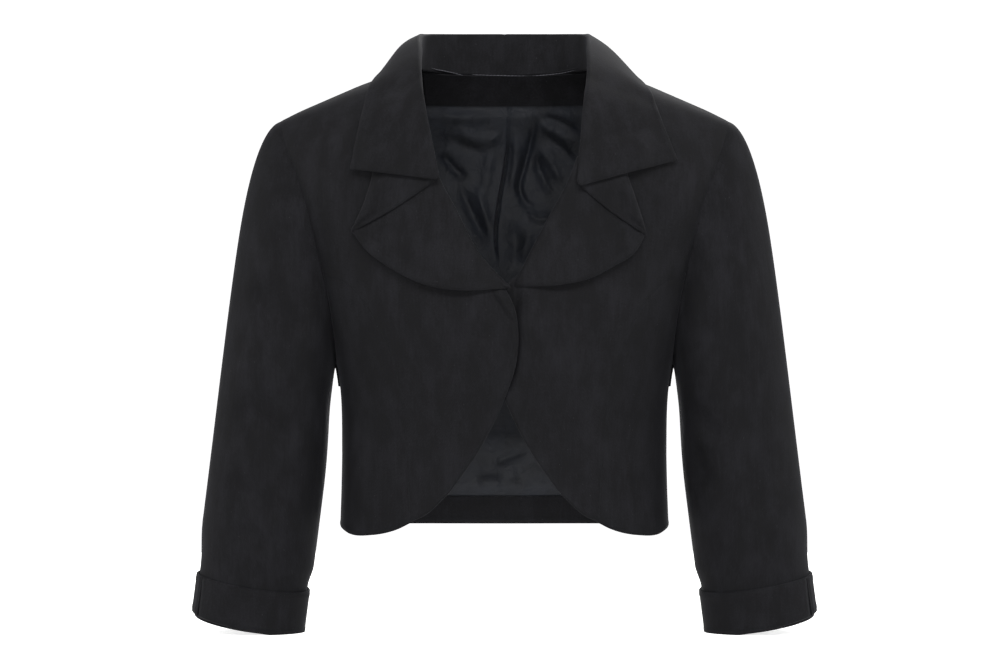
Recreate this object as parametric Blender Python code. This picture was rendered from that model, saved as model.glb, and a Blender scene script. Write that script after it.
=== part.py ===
"""Cropped blazer, filled out as if worn, made as the pieces that are cut and sewn.

Metres, +Z up. The wearer faces -Y, so the wearer's left is on +X. The origin lies on the
centre plane, under the neck, where a hanger or a body would carry the shoulders.
Every panel is a patch of one torso form, drawn by its seam lines in front view (x, z).
What lies on a panel is made from the same form, moved out; what lies inside, moved in.
"""

import bpy
import numpy as np

# Cloth and seams
WALL = 0.0016
LINING_WALL = 0.0010
SEAM = 0.0003
HALF_SEAM = SEAM / 2
LAYER_GAP = 0.0004
SHARP_EDGE = np.radians(50)
TINY = 1e-9

# Torso form
NECK_POINT = 0.075
SHOULDER_POINT = 0.197
RIDGE_TOP = 0.0523
RIDGE_SLOPE = 0.43
RIDGE_ROUND = 0.040
ROUND_PLAN = 2.2
ROUND_CROWN = 2.2
CROWN_DROP = 0.12
UNDERARM = -0.246
HEM_SIDE = -0.3856
HEM_BACK = -0.390
NECK_BACK = 0.0137
FRONT_SPLIT = -0.111
BACK_SPLIT_FOOT = 0.066
BACK_SPLIT_WAIST = 0.068
BACK_SPLIT_NECK = 0.074
BACK_YOKE_SIDE = -0.062
FACING_DEPTH = 0.026
HEM_FACING_DEPTH = 0.025
FORM_LEVELS = (
    # z, half width, front depth, back depth
    (-0.420, 0.1438, 0.0975, 0.0985),
    (-0.391, 0.1432, 0.0980, 0.0970),
    (-0.350, 0.1420, 0.0985, 0.0930),
    (-0.320, 0.1416, 0.1000, 0.0905),
    (-0.246, 0.1470, 0.1130, 0.0960),
    (-0.206, 0.1590, 0.1175, 0.1000),
    (-0.140, 0.1790, 0.1150, 0.1040),
    (-0.090, 0.1980, 0.1110, 0.1020),
    (-0.050, 0.2120, 0.1080, 0.0960),
    (-0.020, 0.2220, 0.1050, 0.0890),
    (0.030, 0.2350, 0.1010, 0.0830),
    (0.060, 0.2420, 0.1000, 0.0820),
)

# Seam lines in front view, x measured towards the panel's own side
ARMHOLE = (
    # below the shoulder point
    (0.1900, -0.056),
    (0.1820, -0.079),
    (0.1710, -0.112),
    (0.1650, -0.135),
    (0.1600, -0.158),
    (0.1550, -0.181),
    (0.1510, -0.206),
    (0.1485, -0.228),
)
PRINCESS_LEVEL = -0.166
PRINCESS = (
    (0.1340, -0.178),
    (0.1180, -0.197),
    (0.1020, -0.226),
    (0.0950, -0.246),
    (0.0850, -0.320),
    (0.0800, -0.380),
)
NECKLINE_FRONT = (
    (0.0735, 0.000),
    (0.0695, -0.030),
    (0.0625, -0.069),
    (0.0549, -0.089),
    (0.0430, -0.111),
    (0.0217, -0.151),
    (0.0000, -0.181),
)
FRONT_EDGE = (
    (-0.0075, -0.196),
    (-0.0112, -0.222),
    (-0.0085, -0.248),
    (-0.0005, -0.272),
    (0.0217, -0.318),
    (0.0472, -0.355),
)
CUTAWAY_FOOT = (
    (0.0700, -0.375),
    (0.0800, -0.380),
)
SIDE_HEM = (
    (0.0920, -0.3862),
    (0.1155, -0.3922),
    (0.1340, -0.3915),
)

# The right front laps over the left one
LAP_LIFT = WALL + 2 * LAYER_GAP
LAP_FADE = 0.075

# Lapels and collar, per side: outline points in front view
LAPEL_WALL = 0.0014
FOLD_RADIUS = 0.0013
LAPEL_TOP = -0.068
LAPEL_TOP_X = 0.0628
FLAP_END = 0.012
LAPEL = {
    "left": {
        "notch": (0.0640, -0.0935),
        "tip": (0.1185, -0.1345),
        "fold": ((0.1120, -0.111), (0.1050, -0.089), (0.1000, -0.068)),
        "edge": ((0.1080, -0.150), (0.0908, -0.1614), (0.0719, -0.1716), (0.0472, -0.1776)),
        "break": (0.0085, -0.1786),
    },
    "right": {
        "notch": (0.0575, -0.0885),
        "tip": (0.1287, -0.1315),
        "fold": ((0.1220, -0.117), (0.1165, -0.101), (0.1090, -0.068)),
        "edge": ((0.1142, -0.1483), (0.0984, -0.1605), (0.0625, -0.1784), (0.0429, -0.1819)),
        "break": (0.0030, -0.1815),
    },
}
COLLAR_WALL = 0.0016
COLLAR_LIFT = 0.0068
COLLAR_ROLL = 0.0022
COLLAR_SEAT = 0.0007
COLLAR_LAST_STAND = 0.004
COLLAR_FRONT_FROM, COLLAR_FRONT_FADE = 0.43, 0.14
COLLAR_SEAM_BACK = (HALF_SEAM, 0.040, 0.064)
COLLAR_SEAM_FRONT = (
    # x, z and distance off the front
    (0.0747, 0.0163, 0.0013),
    (0.0735, 0.0000, 0.0013),
    (0.0695, -0.0300, 0.0058),
)
COLLAR_ROLL_LINE = (
    # x, y, z of the top fold, from the centre back to the chest
    (0.0000, 0.0680, 0.0478),
    (0.0440, 0.0610, 0.0476),
    (0.0695, 0.0360, 0.0468),
    (0.0755, 0.0060, 0.0432),
    (0.0752, -0.0320, 0.0265),
    (0.0740, -0.0680, 0.0030),
    (0.0705, -0.0995, -0.0270),
)
COLLAR_EDGE_BACK = (
    # x, y, z of the free edge across the back
    (HALF_SEAM, 0.0800, -0.0040),
    (0.0620, 0.0745, -0.0060),
    (0.1050, 0.0430, -0.0030),
)
COLLAR_WING = {
    # outer edge of the fall, in front view, from the shoulder to the collar point
    "left": ((0.1205, 0.0040), (0.1280, -0.0090), (0.1355, -0.0395), (0.1470, -0.0705)),
    "right": ((0.1115, 0.0080), (0.1185, -0.0060), (0.1245, -0.0450), (0.1308, -0.0785)),
}

# Sleeves
WRIST = (0.2200, -0.013, -0.436)
SLEEVE_AXIS = (0.128, -0.030, -0.991)
SLEEVE_END_TILT = 0.16
SLEEVE_HALF_WIDTH = 0.0478
SLEEVE_HALF_DEPTH = 0.0420
SLEEVE_FRONT_DROP = 0.10
SLEEVE_HANDLE = 0.032
SLEEVE_OUTWARD, SLEEVE_OUTWARD_AT_SHOULDER = 0.65, 0.35
SLEEVE_SPREAD, SLEEVE_SPREAD_AT_SHOULDER = 0.45, -0.58
SLEEVE_AGREE_FROM, SLEEVE_AGREE_FADE = -0.1, 0.5
SLEEVE_FOOT_HANDLE = 0.60
HIND_SEAM = np.radians(235)
FORE_SEAM = np.radians(150)
CUFF_HEIGHT = 0.0362
CUFF_GAP = 0.0006
CUFF_WALL = 0.0018
CUFF_LIP = 0.0010
CUFF_SLIT = np.radians(30)
CUFF_SLIT_CLEAR = np.radians(6)
CUFF_SLIT_TOP = 0.0010
CUFF_SLIT_FOOT = 0.0040

# Grid counts
FRONT_LOW_ROWS, FRONT_TOP_ROWS, FRONT_COLUMNS = 14, 12, 9
SIDE_COLUMNS = 8
BACK_ROWS = (3, 7, 9, 6)
BACK_INNER_COLUMNS, BACK_OUTER_COLUMNS = 6, 7
SLEEVE_ROWS = 14
SLEEVE_ROW_CROWDING = 1.25
LAPEL_ROWS, LAPEL_COLUMNS, FLAP_COLUMNS, FOLD_COLUMNS = 11, 9, 7, 5
COLLAR_STATIONS, STAND_POINTS, FALL_POINTS, ROLL_POINTS = 20, 4, 8, 5
CUFF_ROWS = 4

# Linear colour and roughness of the two cloths
SUITING, SUITING_ROUGHNESS = (0.0185, 0.0185, 0.0205, 1.0), 0.85
SATIN, SATIN_ROUGHNESS = (0.028, 0.029, 0.034, 1.0), 0.40


def clear_scene():
    """Remove every object that the file starts with."""
    for item in list(bpy.data.objects):
        bpy.data.objects.remove(item, do_unlink=True)


def cloth_material(name, colour, roughness):
    """A matt or glossy cloth in one colour."""
    material = bpy.data.materials.new(name)
    material.use_nodes = True
    shader = material.node_tree.nodes["Principled BSDF"]
    shader.inputs["Base Color"].default_value = colour
    shader.inputs["Roughness"].default_value = roughness
    shader.inputs["Metallic"].default_value = 0.0
    return material


def hermite(keys, values, at):
    """Smooth curve through rows of values at rising keys, read at the given keys."""
    keys = np.asarray(keys, float)
    values = np.asarray(values, float)
    slopes = np.gradient(values, keys, axis=0)
    low = np.clip(np.searchsorted(keys, at, side="right") - 1, 0, len(keys) - 2)
    step = keys[low + 1] - keys[low]
    part = (at - keys[low]) / step
    if values.ndim > 1:
        step = step[..., None]
        part = part[..., None]
    start, end = values[low], values[low + 1]
    rise_start, rise_end = slopes[low] * step, slopes[low + 1] * step
    cubic = 2 * (start - end) + rise_start + rise_end
    square = 3 * (end - start) - 2 * rise_start - rise_end
    return start + part * (rise_start + part * (square + part * cubic))


def chord_keys(points):
    """Running length along a chain of points, from 0."""
    lengths = np.linalg.norm(np.diff(points, axis=0), axis=1)
    return np.concatenate([[0.0], np.cumsum(lengths)])


def smooth_line(points, samples=160):
    """Dense smooth line through a few points in front view."""
    points = np.asarray(points, float)
    keys = chord_keys(points)
    return hermite(keys, points, np.linspace(0.0, keys[-1], samples))


def joined(*lines):
    """Lines end to end, without the doubled points."""
    chain = [lines[0]]
    for line in lines[1:]:
        chain.append(line[1:])
    return np.concatenate(chain)


def spaced(line, guide, count):
    """Points of a line, evenly spaced by the running length of its guide."""
    keys = chord_keys(guide)
    keys = keys + np.arange(len(keys)) * TINY
    at = np.linspace(0.0, keys[-1], count)
    return np.stack([np.interp(at, keys, column) for column in line.T], axis=1)


def unit(vectors):
    """Vectors scaled to length one."""
    return vectors / np.linalg.norm(vectors, axis=-1, keepdims=True)


def ease(value):
    """Smooth step from 0 to 1."""
    value = np.clip(value, 0.0, 1.0)
    return value * value * (3.0 - 2.0 * value)


def ridge(x):
    """Height of the shoulder line at a distance from the centre, rounded off over the neck."""
    across = np.abs(x)
    inside = across**2 / (2 * RIDGE_ROUND) + RIDGE_ROUND / 2
    return RIDGE_TOP - RIDGE_SLOPE * np.where(across < RIDGE_ROUND, inside, across)


def form_levels(z):
    """Half width, front depth and back depth of the torso form at a height."""
    table = np.array(FORM_LEVELS)
    columns = hermite(table[:, 0], table[:, 1:], np.asarray(z, float))
    return columns[..., 0], columns[..., 1], columns[..., 2]


def form_depth(x, z, face):
    """y of the torso form: a rounded oval in plan, rounded over at the shoulder line."""
    half, front, back = form_levels(z)
    across = np.clip(np.abs(x) / half, 0.0, 1.0)
    plan = (1.0 - across**ROUND_PLAN) ** (1.0 / ROUND_PLAN)
    drop = np.clip((ridge(x) - z) / CROWN_DROP, 0.0, 1.0)
    crown = (1.0 - (1.0 - drop) ** ROUND_CROWN) ** (1.0 / ROUND_CROWN)
    return face * np.where(face < 0, front, back) * plan * crown


def form_point(x, z, face):
    """Point of the form at front-view x and z."""
    return np.stack([x, form_depth(x, z, face), np.broadcast_to(z, np.shape(x))], axis=-1)


def form_normal(x, z, face, step=1e-5, edge_on=0.05):
    """Outward normal of the form, from short steps inwards along and down the form."""
    here = form_point(x, z, face)
    side = np.where(x < 0, 1.0, -1.0)
    beside = x + side * step
    along = form_point(beside, z + ridge(beside) - ridge(x), face) - here
    down = form_point(x, z - step, face) - here
    normal = unit(np.cross(along, down))
    facing = np.sign(normal[..., 1] * face + TINY)
    sideways = np.abs(normal[..., 1]) < edge_on
    outward = np.where(sideways, np.sign(normal[..., 0] * x + normal[..., 2]), facing)
    return normal * outward[..., None]


def to_angle(line):
    """Front-view x changed to the angle round the form, so that the sides stay smooth."""
    half = form_levels(line[:, 1])[0]
    across = np.clip(np.abs(line[:, 0]) / half, 0.0, 1.0)
    angle = np.sign(line[:, 0]) * np.arcsin(across ** (ROUND_PLAN / 2))
    return np.stack([angle, line[:, 1]], axis=1)


def from_angle(angle, z):
    """Front-view x of an angle round the form."""
    half = form_levels(z)[0]
    return half * np.sign(angle) * np.abs(np.sin(angle)) ** (2 / ROUND_PLAN)


def patch(low, high, inner, outer, rows, columns, face):
    """Grid of angle and z between four lines: low to high in rows, inner to outer in columns."""
    sides = []
    for line, count in ((low, columns), (high, columns), (inner, rows), (outer, rows)):
        guide = form_point(line[:, 0], line[:, 1], face)
        sides.append(to_angle(spaced(line, guide, count)))
    low, high, inner, outer = sides
    u = np.linspace(0.0, 1.0, columns)[None, :, None]
    v = np.linspace(0.0, 1.0, rows)[:, None, None]
    grid = (1 - v) * low[None] + v * high[None] + (1 - u) * inner[:, None] + u * outer[:, None]
    corners = (1 - u) * ((1 - v) * low[0] + v * high[0]) + u * ((1 - v) * low[-1] + v * high[-1])
    return grid - corners


def quilt(rows_of_patches):
    """Front-view x and z of patches joined edge to edge, rows of patches from the bottom up."""
    bands = []
    for number, row in enumerate(rows_of_patches):
        band = np.concatenate([row[0]] + [piece[:, 1:] for piece in row[1:]], axis=1)
        bands.append(band if number == 0 else band[1:])
    grid = np.concatenate(bands)
    return from_angle(grid[..., 0], grid[..., 1]), grid[..., 1]


def lap_shift(x, side):
    """How far the right front is lifted off the left one, fading out from the centre."""
    if side == "left":
        return np.zeros_like(x)
    return LAP_LIFT * ease((LAP_FADE - x) / LAP_FADE)


def moved(x, z, face, offset, side="left"):
    """Points of the form moved along its normal; the seam gap and the lap move along y."""
    points = form_point(x, z, face) + form_normal(x, z, face) * np.asarray(offset)[..., None]
    points[..., 1] += face * HALF_SEAM
    if face < 0:
        points[..., 1] -= lap_shift(x, side)
    return points


def wall_mesh(name, outer, inner):
    """Closed wall between two grids of the same size, both split along the same diagonals."""
    rows, columns = outer.shape[:2]
    vertices = np.concatenate([outer.reshape(-1, 3), inner.reshape(-1, 3)])
    index = np.arange(rows * columns).reshape(rows, columns)
    lower = np.stack([index[:-1, :-1], index[:-1, 1:], index[1:, 1:]], axis=-1).reshape(-1, 3)
    upper = np.stack([index[:-1, :-1], index[1:, 1:], index[1:, :-1]], axis=-1).reshape(-1, 3)
    front = np.concatenate([lower, upper])
    back = front[:, ::-1] + rows * columns
    rim = np.concatenate([index[0, :], index[1:, -1], index[-1, -2::-1], index[-2:0:-1, 0]])
    after = np.roll(rim, -1)
    edge = np.stack([after, rim, rim + rows * columns, after + rows * columns], axis=-1)
    faces = front.tolist() + back.tolist() + edge.tolist()
    mesh = bpy.data.meshes.new(name)
    mesh.from_pydata(vertices.tolist(), [], faces)
    mesh.validate()
    return mesh


def signed_volume(outer, inner):
    """Sign of the volume between two grids, from the mean direction outwards."""
    across = np.gradient(outer, axis=1)
    along = np.gradient(outer, axis=0)
    return np.sum(np.cross(across, along) * (outer - inner))


def add_piece(collection, material, name, outer, inner, side):
    """One sewn piece as a wall between its outer and inner grid; the right side is mirrored."""
    if side == "right":
        outer = outer * np.array([-1.0, 1.0, 1.0])
        inner = inner * np.array([-1.0, 1.0, 1.0])
    if signed_volume(outer, inner) < 0:
        outer, inner = outer[:, ::-1], inner[:, ::-1]
    mesh = wall_mesh(name, outer, inner)
    mesh.materials.append(material)
    mesh.shade_smooth()
    mesh.set_sharp_from_angle(angle=SHARP_EDGE)
    piece = bpy.data.objects.new(name, mesh)
    collection.objects.link(piece)
    return piece


def both_faces(x, z, face, side, offset, wall):
    """Outer and inner grid of a panel whose outer face lies a distance off the form."""
    outer = moved(x, z, face, np.full_like(x, offset), side)
    inner = moved(x, z, face, np.full_like(x, offset - wall), side)
    return outer, inner


def from_middle(middle, wall):
    """Outer and inner grid on the two sides of a middle surface."""
    normal = unit(np.cross(np.gradient(middle, axis=1), np.gradient(middle, axis=0)))
    return middle + normal * wall / 2, middle - normal * wall / 2


def aside(line, distance):
    """A front-view line moved square to itself, to its left as it runs."""
    run = unit(np.gradient(line, axis=0))
    return line + distance * np.stack([-run[:, 1], run[:, 0]], axis=1)


def straight(start, end):
    """Dense straight line in front view."""
    return np.linspace(start, end, 60)


def armhole_line():
    """Armhole in front view, from the shoulder point to the underarm."""
    top = (SHOULDER_POINT, float(ridge(SHOULDER_POINT)))
    underarm = (float(form_levels(UNDERARM)[0]), UNDERARM)
    return smooth_line((top,) + ARMHOLE + (underarm,))


def part_of(line, low, high):
    """The stretch of a falling line between two heights, with its cut ends."""
    ends = [(np.interp(-level, -line[:, 1], line[:, 0]), level) for level in (high, low)]
    between = line[(line[:, 1] < high) & (line[:, 1] > low)]
    return np.concatenate([ends[:1], between, ends[1:]])


def side_seam():
    """Side seam from the underarm to the hem."""
    z = np.linspace(UNDERARM, HEM_SIDE, 60)
    return np.stack([form_levels(z)[0], z], axis=1)


def shoulder_line():
    """Shoulder seam from the neck point to the shoulder point."""
    x = np.linspace(NECK_POINT, SHOULDER_POINT, 60)
    return np.stack([x, ridge(x)], axis=1)


def princess_line():
    """Seam from the armhole down the front to the hem."""
    start = part_of(armhole_line(), UNDERARM, PRINCESS_LEVEL)[0]
    return smooth_line(np.concatenate([[start], PRINCESS]))


def front_inner_line():
    """Neckline, roll line and front edge, from the neck point to the foot of the cutaway."""
    neck = (NECK_POINT, float(ridge(NECK_POINT)))
    return smooth_line((neck,) + NECKLINE_FRONT + FRONT_EDGE, samples=260)


def front_grid():
    """Front panel: its upper part reaches the armhole, its lower part the princess seam."""
    princess = aside(princess_line(), -HALF_SEAM)
    armhole = part_of(armhole_line(), princess[0, 1], float(ridge(SHOULDER_POINT)))
    princess[0] = armhole[-1]
    inner = front_inner_line()
    split = int(np.argmin(np.abs(inner[:, 1] - FRONT_SPLIT)))
    across = straight(inner[split], armhole[-1])
    foot = smooth_line((inner[-1],) + CUTAWAY_FOOT + (tuple(princess[-1]),))
    lower = patch(foot, across, inner[split:][::-1], princess[::-1], FRONT_LOW_ROWS, FRONT_COLUMNS, -1)
    upper = patch(across, shoulder_line(), inner[:split + 1][::-1], armhole[::-1],
                  FRONT_TOP_ROWS, FRONT_COLUMNS, -1)
    return quilt([[lower], [upper]])


def side_front_grid():
    """Side front between the princess seam and the side seam, under the armhole."""
    princess = aside(princess_line(), HALF_SEAM)
    armhole = part_of(armhole_line(), UNDERARM, princess[0, 1])
    princess[0] = armhole[0]
    corner = (float(form_levels(HEM_SIDE)[0]), HEM_SIDE)
    hem = smooth_line((tuple(princess[-1]),) + SIDE_HEM + (corner,))
    grid = patch(hem, armhole, princess[::-1], side_seam()[::-1], FRONT_LOW_ROWS, SIDE_COLUMNS, -1)
    return quilt([[grid]])


def neckline_back():
    """Back neck seam from the centre back to the neck point."""
    x = np.linspace(HALF_SEAM, NECK_POINT, 60)
    rise = float(ridge(NECK_POINT)) - NECK_BACK
    return np.stack([x, NECK_BACK + rise * (x / NECK_POINT) ** 3], axis=1)


def hem_back_level(x):
    """Height of the back hem, rising a little to the side seam."""
    return HEM_BACK + (HEM_SIDE - HEM_BACK) * (x / float(form_levels(HEM_SIDE)[0])) ** 2


def back_levels():
    """Lines across the back half, each in two stretches that meet below the neck point."""
    outline = joined(armhole_line(), side_seam())

    def outer_at(level):
        return (float(np.interp(-level, -outline[:, 1], outline[:, 0])), level)

    hem_x = np.linspace(HALF_SEAM, BACK_SPLIT_FOOT, 40)
    hem_out = np.linspace(BACK_SPLIT_FOOT, outer_at(HEM_SIDE)[0], 40)
    hem = [np.stack([x, hem_back_level(x)], axis=1) for x in (hem_x, hem_out)]
    facing_top = [line + np.array([0.0, HEM_FACING_DEPTH]) for line in hem]
    facing_top[1] = straight(facing_top[1][0], outer_at(HEM_SIDE + HEM_FACING_DEPTH))
    waist_mid = (BACK_SPLIT_WAIST, UNDERARM)
    waist = [straight((HALF_SEAM, UNDERARM), waist_mid), straight(waist_mid, outer_at(UNDERARM))]
    facing_level = NECK_BACK - FACING_DEPTH
    neck_mid = (BACK_SPLIT_NECK, facing_level)
    neck = [straight((HALF_SEAM, facing_level), neck_mid), straight(neck_mid, outer_at(BACK_YOKE_SIDE))]
    top = [neckline_back(), shoulder_line()]
    return [hem, facing_top, waist, neck, top], outline


def back_grid():
    """Back half in bands: hem facing, waist, blades and neck, which the inner pieces follow."""
    levels, outline = back_levels()
    bands = []
    for low, high, rows in zip(levels[:-1], levels[1:], BACK_ROWS):
        centre = straight(low[0][0], high[0][0])
        middle = straight(low[0][-1], high[0][-1])
        outer = part_of(outline, low[1][-1, 1], high[1][-1, 1])[::-1]
        bands.append([
            patch(low[0], high[0], centre, middle, rows, BACK_INNER_COLUMNS, 1),
            patch(low[1], high[1], middle, outer, rows, BACK_OUTER_COLUMNS, 1),
        ])
    return quilt(bands)


def make_panels(collection, suiting):
    """Fronts, side fronts and back halves."""
    for side in ("left", "right"):
        x, z = front_grid()
        add_piece(collection, suiting, f"front_{side}", *both_faces(x, z, -1, side, 0.0, WALL), side)
        x, z = side_front_grid()
        add_piece(collection, suiting, f"side_front_{side}", *both_faces(x, z, -1, side, 0.0, WALL), side)
        x, z = back_grid()
        add_piece(collection, suiting, f"back_{side}", *both_faces(x, z, 1, side, 0.0, WALL), side)


def lapel_middle(side):
    """Middle surface of a lapel: its face, the soft fold at its outer side, the turned-over corner."""
    shape = LAPEL[side]
    roll = smooth_line(((LAPEL_TOP_X, LAPEL_TOP),) + NECKLINE_FRONT[3:6] + (shape["break"],))
    fold = smooth_line(shape["fold"][::-1] + (shape["tip"],)) - np.array([FOLD_RADIUS, 0.0])
    edge = smooth_line((shape["break"],) + shape["edge"][::-1] + (tuple(fold[-1]),))
    face = patch(edge, straight(roll[0], fold[0]), roll[::-1], fold[::-1], LAPEL_ROWS, LAPEL_COLUMNS, -1)
    face_x, face_z = quilt([[face]])

    notch = np.array(shape["notch"])
    end = straight(notch, (notch[0] + FLAP_END, LAPEL_TOP))
    flap = patch(straight(fold[-1], notch), straight(fold[0], end[-1]), fold[::-1], end,
                 LAPEL_ROWS, FLAP_COLUMNS, -1)
    flap_x, flap_z = quilt([[flap]])

    low = LAYER_GAP + LAPEL_WALL / 2
    turn = np.linspace(-np.pi / 2, np.pi / 2, FOLD_COLUMNS + 2)[1:-1]
    turn_x = face_x[:, -1:] + FOLD_RADIUS * np.cos(turn)
    turn_z = np.repeat(face_z[:, -1:], FOLD_COLUMNS, axis=1)
    heights = (
        np.full_like(face_x, low),
        low + FOLD_RADIUS * (1 + np.sin(turn)) * np.ones_like(turn_x),
        np.full_like(flap_x, low + 2 * FOLD_RADIUS),
    )
    x = np.concatenate([face_x, turn_x, flap_x], axis=1)
    z = np.concatenate([face_z, turn_z, flap_z], axis=1)
    return moved(x, z, -1, np.concatenate(heights, axis=1), side)


def make_lapels(collection, suiting):
    """The two lapels, each on its own front."""
    for side in ("left", "right"):
        outer, inner = from_middle(lapel_middle(side), LAPEL_WALL)
        add_piece(collection, suiting, f"lapel_{side}", outer, inner, side)


def lifted(x, z, face, lift):
    """One point over the form, a distance off it."""
    return tuple(moved(np.array(x), np.array(z), face, np.array(lift)))


def collar_stations(side):
    """Neck seam, roll line and outer edge of the collar, from the centre back to the notch."""
    shoulder, upper, middle, point = COLLAR_WING[side]
    between = 0.5 * (np.array(upper) + np.array(middle))
    notch = LAPEL[side]["notch"]
    neck = neckline_back()
    seam = [lifted(x, np.interp(x, neck[:, 0], neck[:, 1]), 1, 0.0) for x in COLLAR_SEAM_BACK]
    seam.append((NECK_POINT, 0.0, float(ridge(NECK_POINT))))
    seam = [(x, y, z + COLLAR_SEAT) for x, y, z in seam]
    seam.extend(lifted(x, z, -1, lift) for x, z, lift in COLLAR_SEAM_FRONT)
    seam.append(lifted(notch[0], notch[1] + COLLAR_LAST_STAND, -1, COLLAR_LIFT))
    roll = ((HALF_SEAM,) + COLLAR_ROLL_LINE[0][1:],) + COLLAR_ROLL_LINE[1:]
    roll = roll + (lifted(notch[0], notch[1], -1, COLLAR_LIFT + COLLAR_ROLL),)
    edge = COLLAR_EDGE_BACK + (
        (shoulder[0], 0.0, shoulder[1]),
        lifted(*upper, -1, COLLAR_LIFT),
        lifted(*between, -1, COLLAR_LIFT),
        lifted(*middle, -1, COLLAR_LIFT),
        lifted(*point, -1, COLLAR_LIFT),
    )
    keys = np.linspace(0.0, 1.0, len(seam))
    at = np.linspace(0.0, 1.0, COLLAR_STATIONS)
    return [hermite(keys, np.array(line), at) for line in (seam, roll, edge)]


def collar_middle(side):
    """Middle surface of a collar half: stand up from the seam, round the roll, down the fall."""
    seam, roll, edge = collar_stations(side)
    outward = unit(edge - seam)
    upward = roll - 0.5 * (seam + edge)
    upward = unit(upward - np.sum(upward * outward, axis=1, keepdims=True) * outward)
    centre = roll - COLLAR_ROLL * upward
    turn = np.linspace(0.0, np.pi, ROLL_POINTS)[None, :, None]
    bend = np.sin(turn) * upward[:, None] - np.cos(turn) * outward[:, None]
    arc = centre[:, None] + COLLAR_ROLL * bend
    rise = np.linspace(0.0, 1.0, STAND_POINTS + 1)[None, :-1, None]
    stand = seam[:, None] + rise * (arc[:, :1] - seam[:, None])
    fall_part = np.linspace(0.0, 1.0, FALL_POINTS + 1)[None, 1:, None]
    fall = arc[:, -1:] + fall_part * (edge[:, None] - arc[:, -1:])
    clear = form_depth(fall[..., 0], fall[..., 2], -1) - COLLAR_LIFT
    share = np.linspace(0.0, 1.0, COLLAR_STATIONS)[:, None]
    front = ease((share - COLLAR_FRONT_FROM) / COLLAR_FRONT_FADE)
    fall[..., 1] += front * np.minimum(clear - fall[..., 1], 0.0)
    return np.concatenate([stand, arc, fall], axis=1)


def make_collar(collection, suiting):
    """The two collar halves, joined at the centre back."""
    for side in ("left", "right"):
        outer, inner = from_middle(collar_middle(side), COLLAR_WALL)
        add_piece(collection, suiting, f"collar_{side}", outer, inner, side)


def armhole_loop():
    """Points of the armhole on the sewn panels, from the shoulder forward round to the shoulder."""
    x, z = front_grid()
    upper = moved(x, z, -1, np.zeros_like(x))[:FRONT_LOW_ROWS - 2:-1, -1]
    x, z = side_front_grid()
    lower = moved(x, z, -1, np.zeros_like(x))[-1, 1:]
    x, z = back_grid()
    first = BACK_ROWS[0] + BACK_ROWS[1] - 1
    behind = moved(x, z, 1, np.zeros_like(x))[first:-1, -1]
    return np.concatenate([upper, lower, behind]), len(upper) + len(lower)


def loop_angles(loop, half):
    """Angle round the arm of each loop point: 0 at the shoulder, half a turn at the underarm."""
    keys = chord_keys(np.concatenate([loop, loop[:1]]))
    under = keys[half - 1]
    before = np.pi * keys[:half] / under
    after = np.pi + np.pi * (keys[half:-1] - under) / (keys[-1] - under)
    return np.concatenate([before, after])


def sleeve_tube():
    """Outer grid of a whole sleeve, its normals and angles: rows down the arm, columns round it.

    Angle 0 is the shoulder point and the outer arm, a quarter turn on is the front.
    """
    loop, half = armhole_loop()
    angle = loop_angles(loop, half)
    turn_cos, turn_sin = np.cos(angle)[:, None], np.sin(angle)[:, None]
    top, bottom = loop[0], loop[half - 1]
    along = unit(bottom - top)
    out = np.array([-along[2], 0.0, along[0]])
    radial = unit(loop - 0.5 * (top + bottom))
    outward = SLEEVE_OUTWARD + SLEEVE_OUTWARD_AT_SHOULDER * turn_cos
    spread = SLEEVE_SPREAD + SLEEVE_SPREAD_AT_SHOULDER * turn_cos
    leave = unit(out * outward + radial * spread)
    start = loop + SEAM * leave

    axis = unit(np.array(SLEEVE_AXIS))
    wide = unit(np.array([1.0, 0.0, SLEEVE_END_TILT]))
    deep = np.array([0.0, -1.0, -SLEEVE_FRONT_DROP])
    wrist = np.array(WRIST) + turn_cos * SLEEVE_HALF_WIDTH * wide + turn_sin * SLEEVE_HALF_DEPTH * deep
    length = np.linalg.norm(wrist - start, axis=1, keepdims=True)
    first = start + SLEEVE_HANDLE * leave
    second = wrist - SLEEVE_FOOT_HANDLE * length * axis
    t = (np.linspace(0.0, 1.0, SLEEVE_ROWS) ** SLEEVE_ROW_CROWDING)[:, None, None]
    upper_arm = (1 - t) ** 3 * start + 3 * t * (1 - t) ** 2 * first
    lower_arm = 3 * t * t * (1 - t) * second + t**3 * wrist
    down = np.linspace(0.0, CUFF_HEIGHT, CUFF_ROWS)[1:, None, None]
    tube = np.concatenate([upper_arm + lower_arm, wrist + down * axis])
    closed = np.concatenate([tube[:, -1:], tube, tube[:, :1]], axis=1)
    around = np.gradient(closed, axis=1)[:, 1:-1]
    normal = unit(np.cross(around, np.gradient(tube, axis=0)))
    body = np.concatenate([
        form_normal(loop[:half, 0], loop[:half, 2], -1),
        form_normal(loop[half:, 0], loop[half:, 2], 1),
    ])
    agree = ease((np.sum(body * normal[0], axis=1) - SLEEVE_AGREE_FROM) / SLEEVE_AGREE_FADE)[:, None]
    normal[0] = unit(agree * body + (1 - agree) * normal[0])
    return tube, normal, angle


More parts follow.
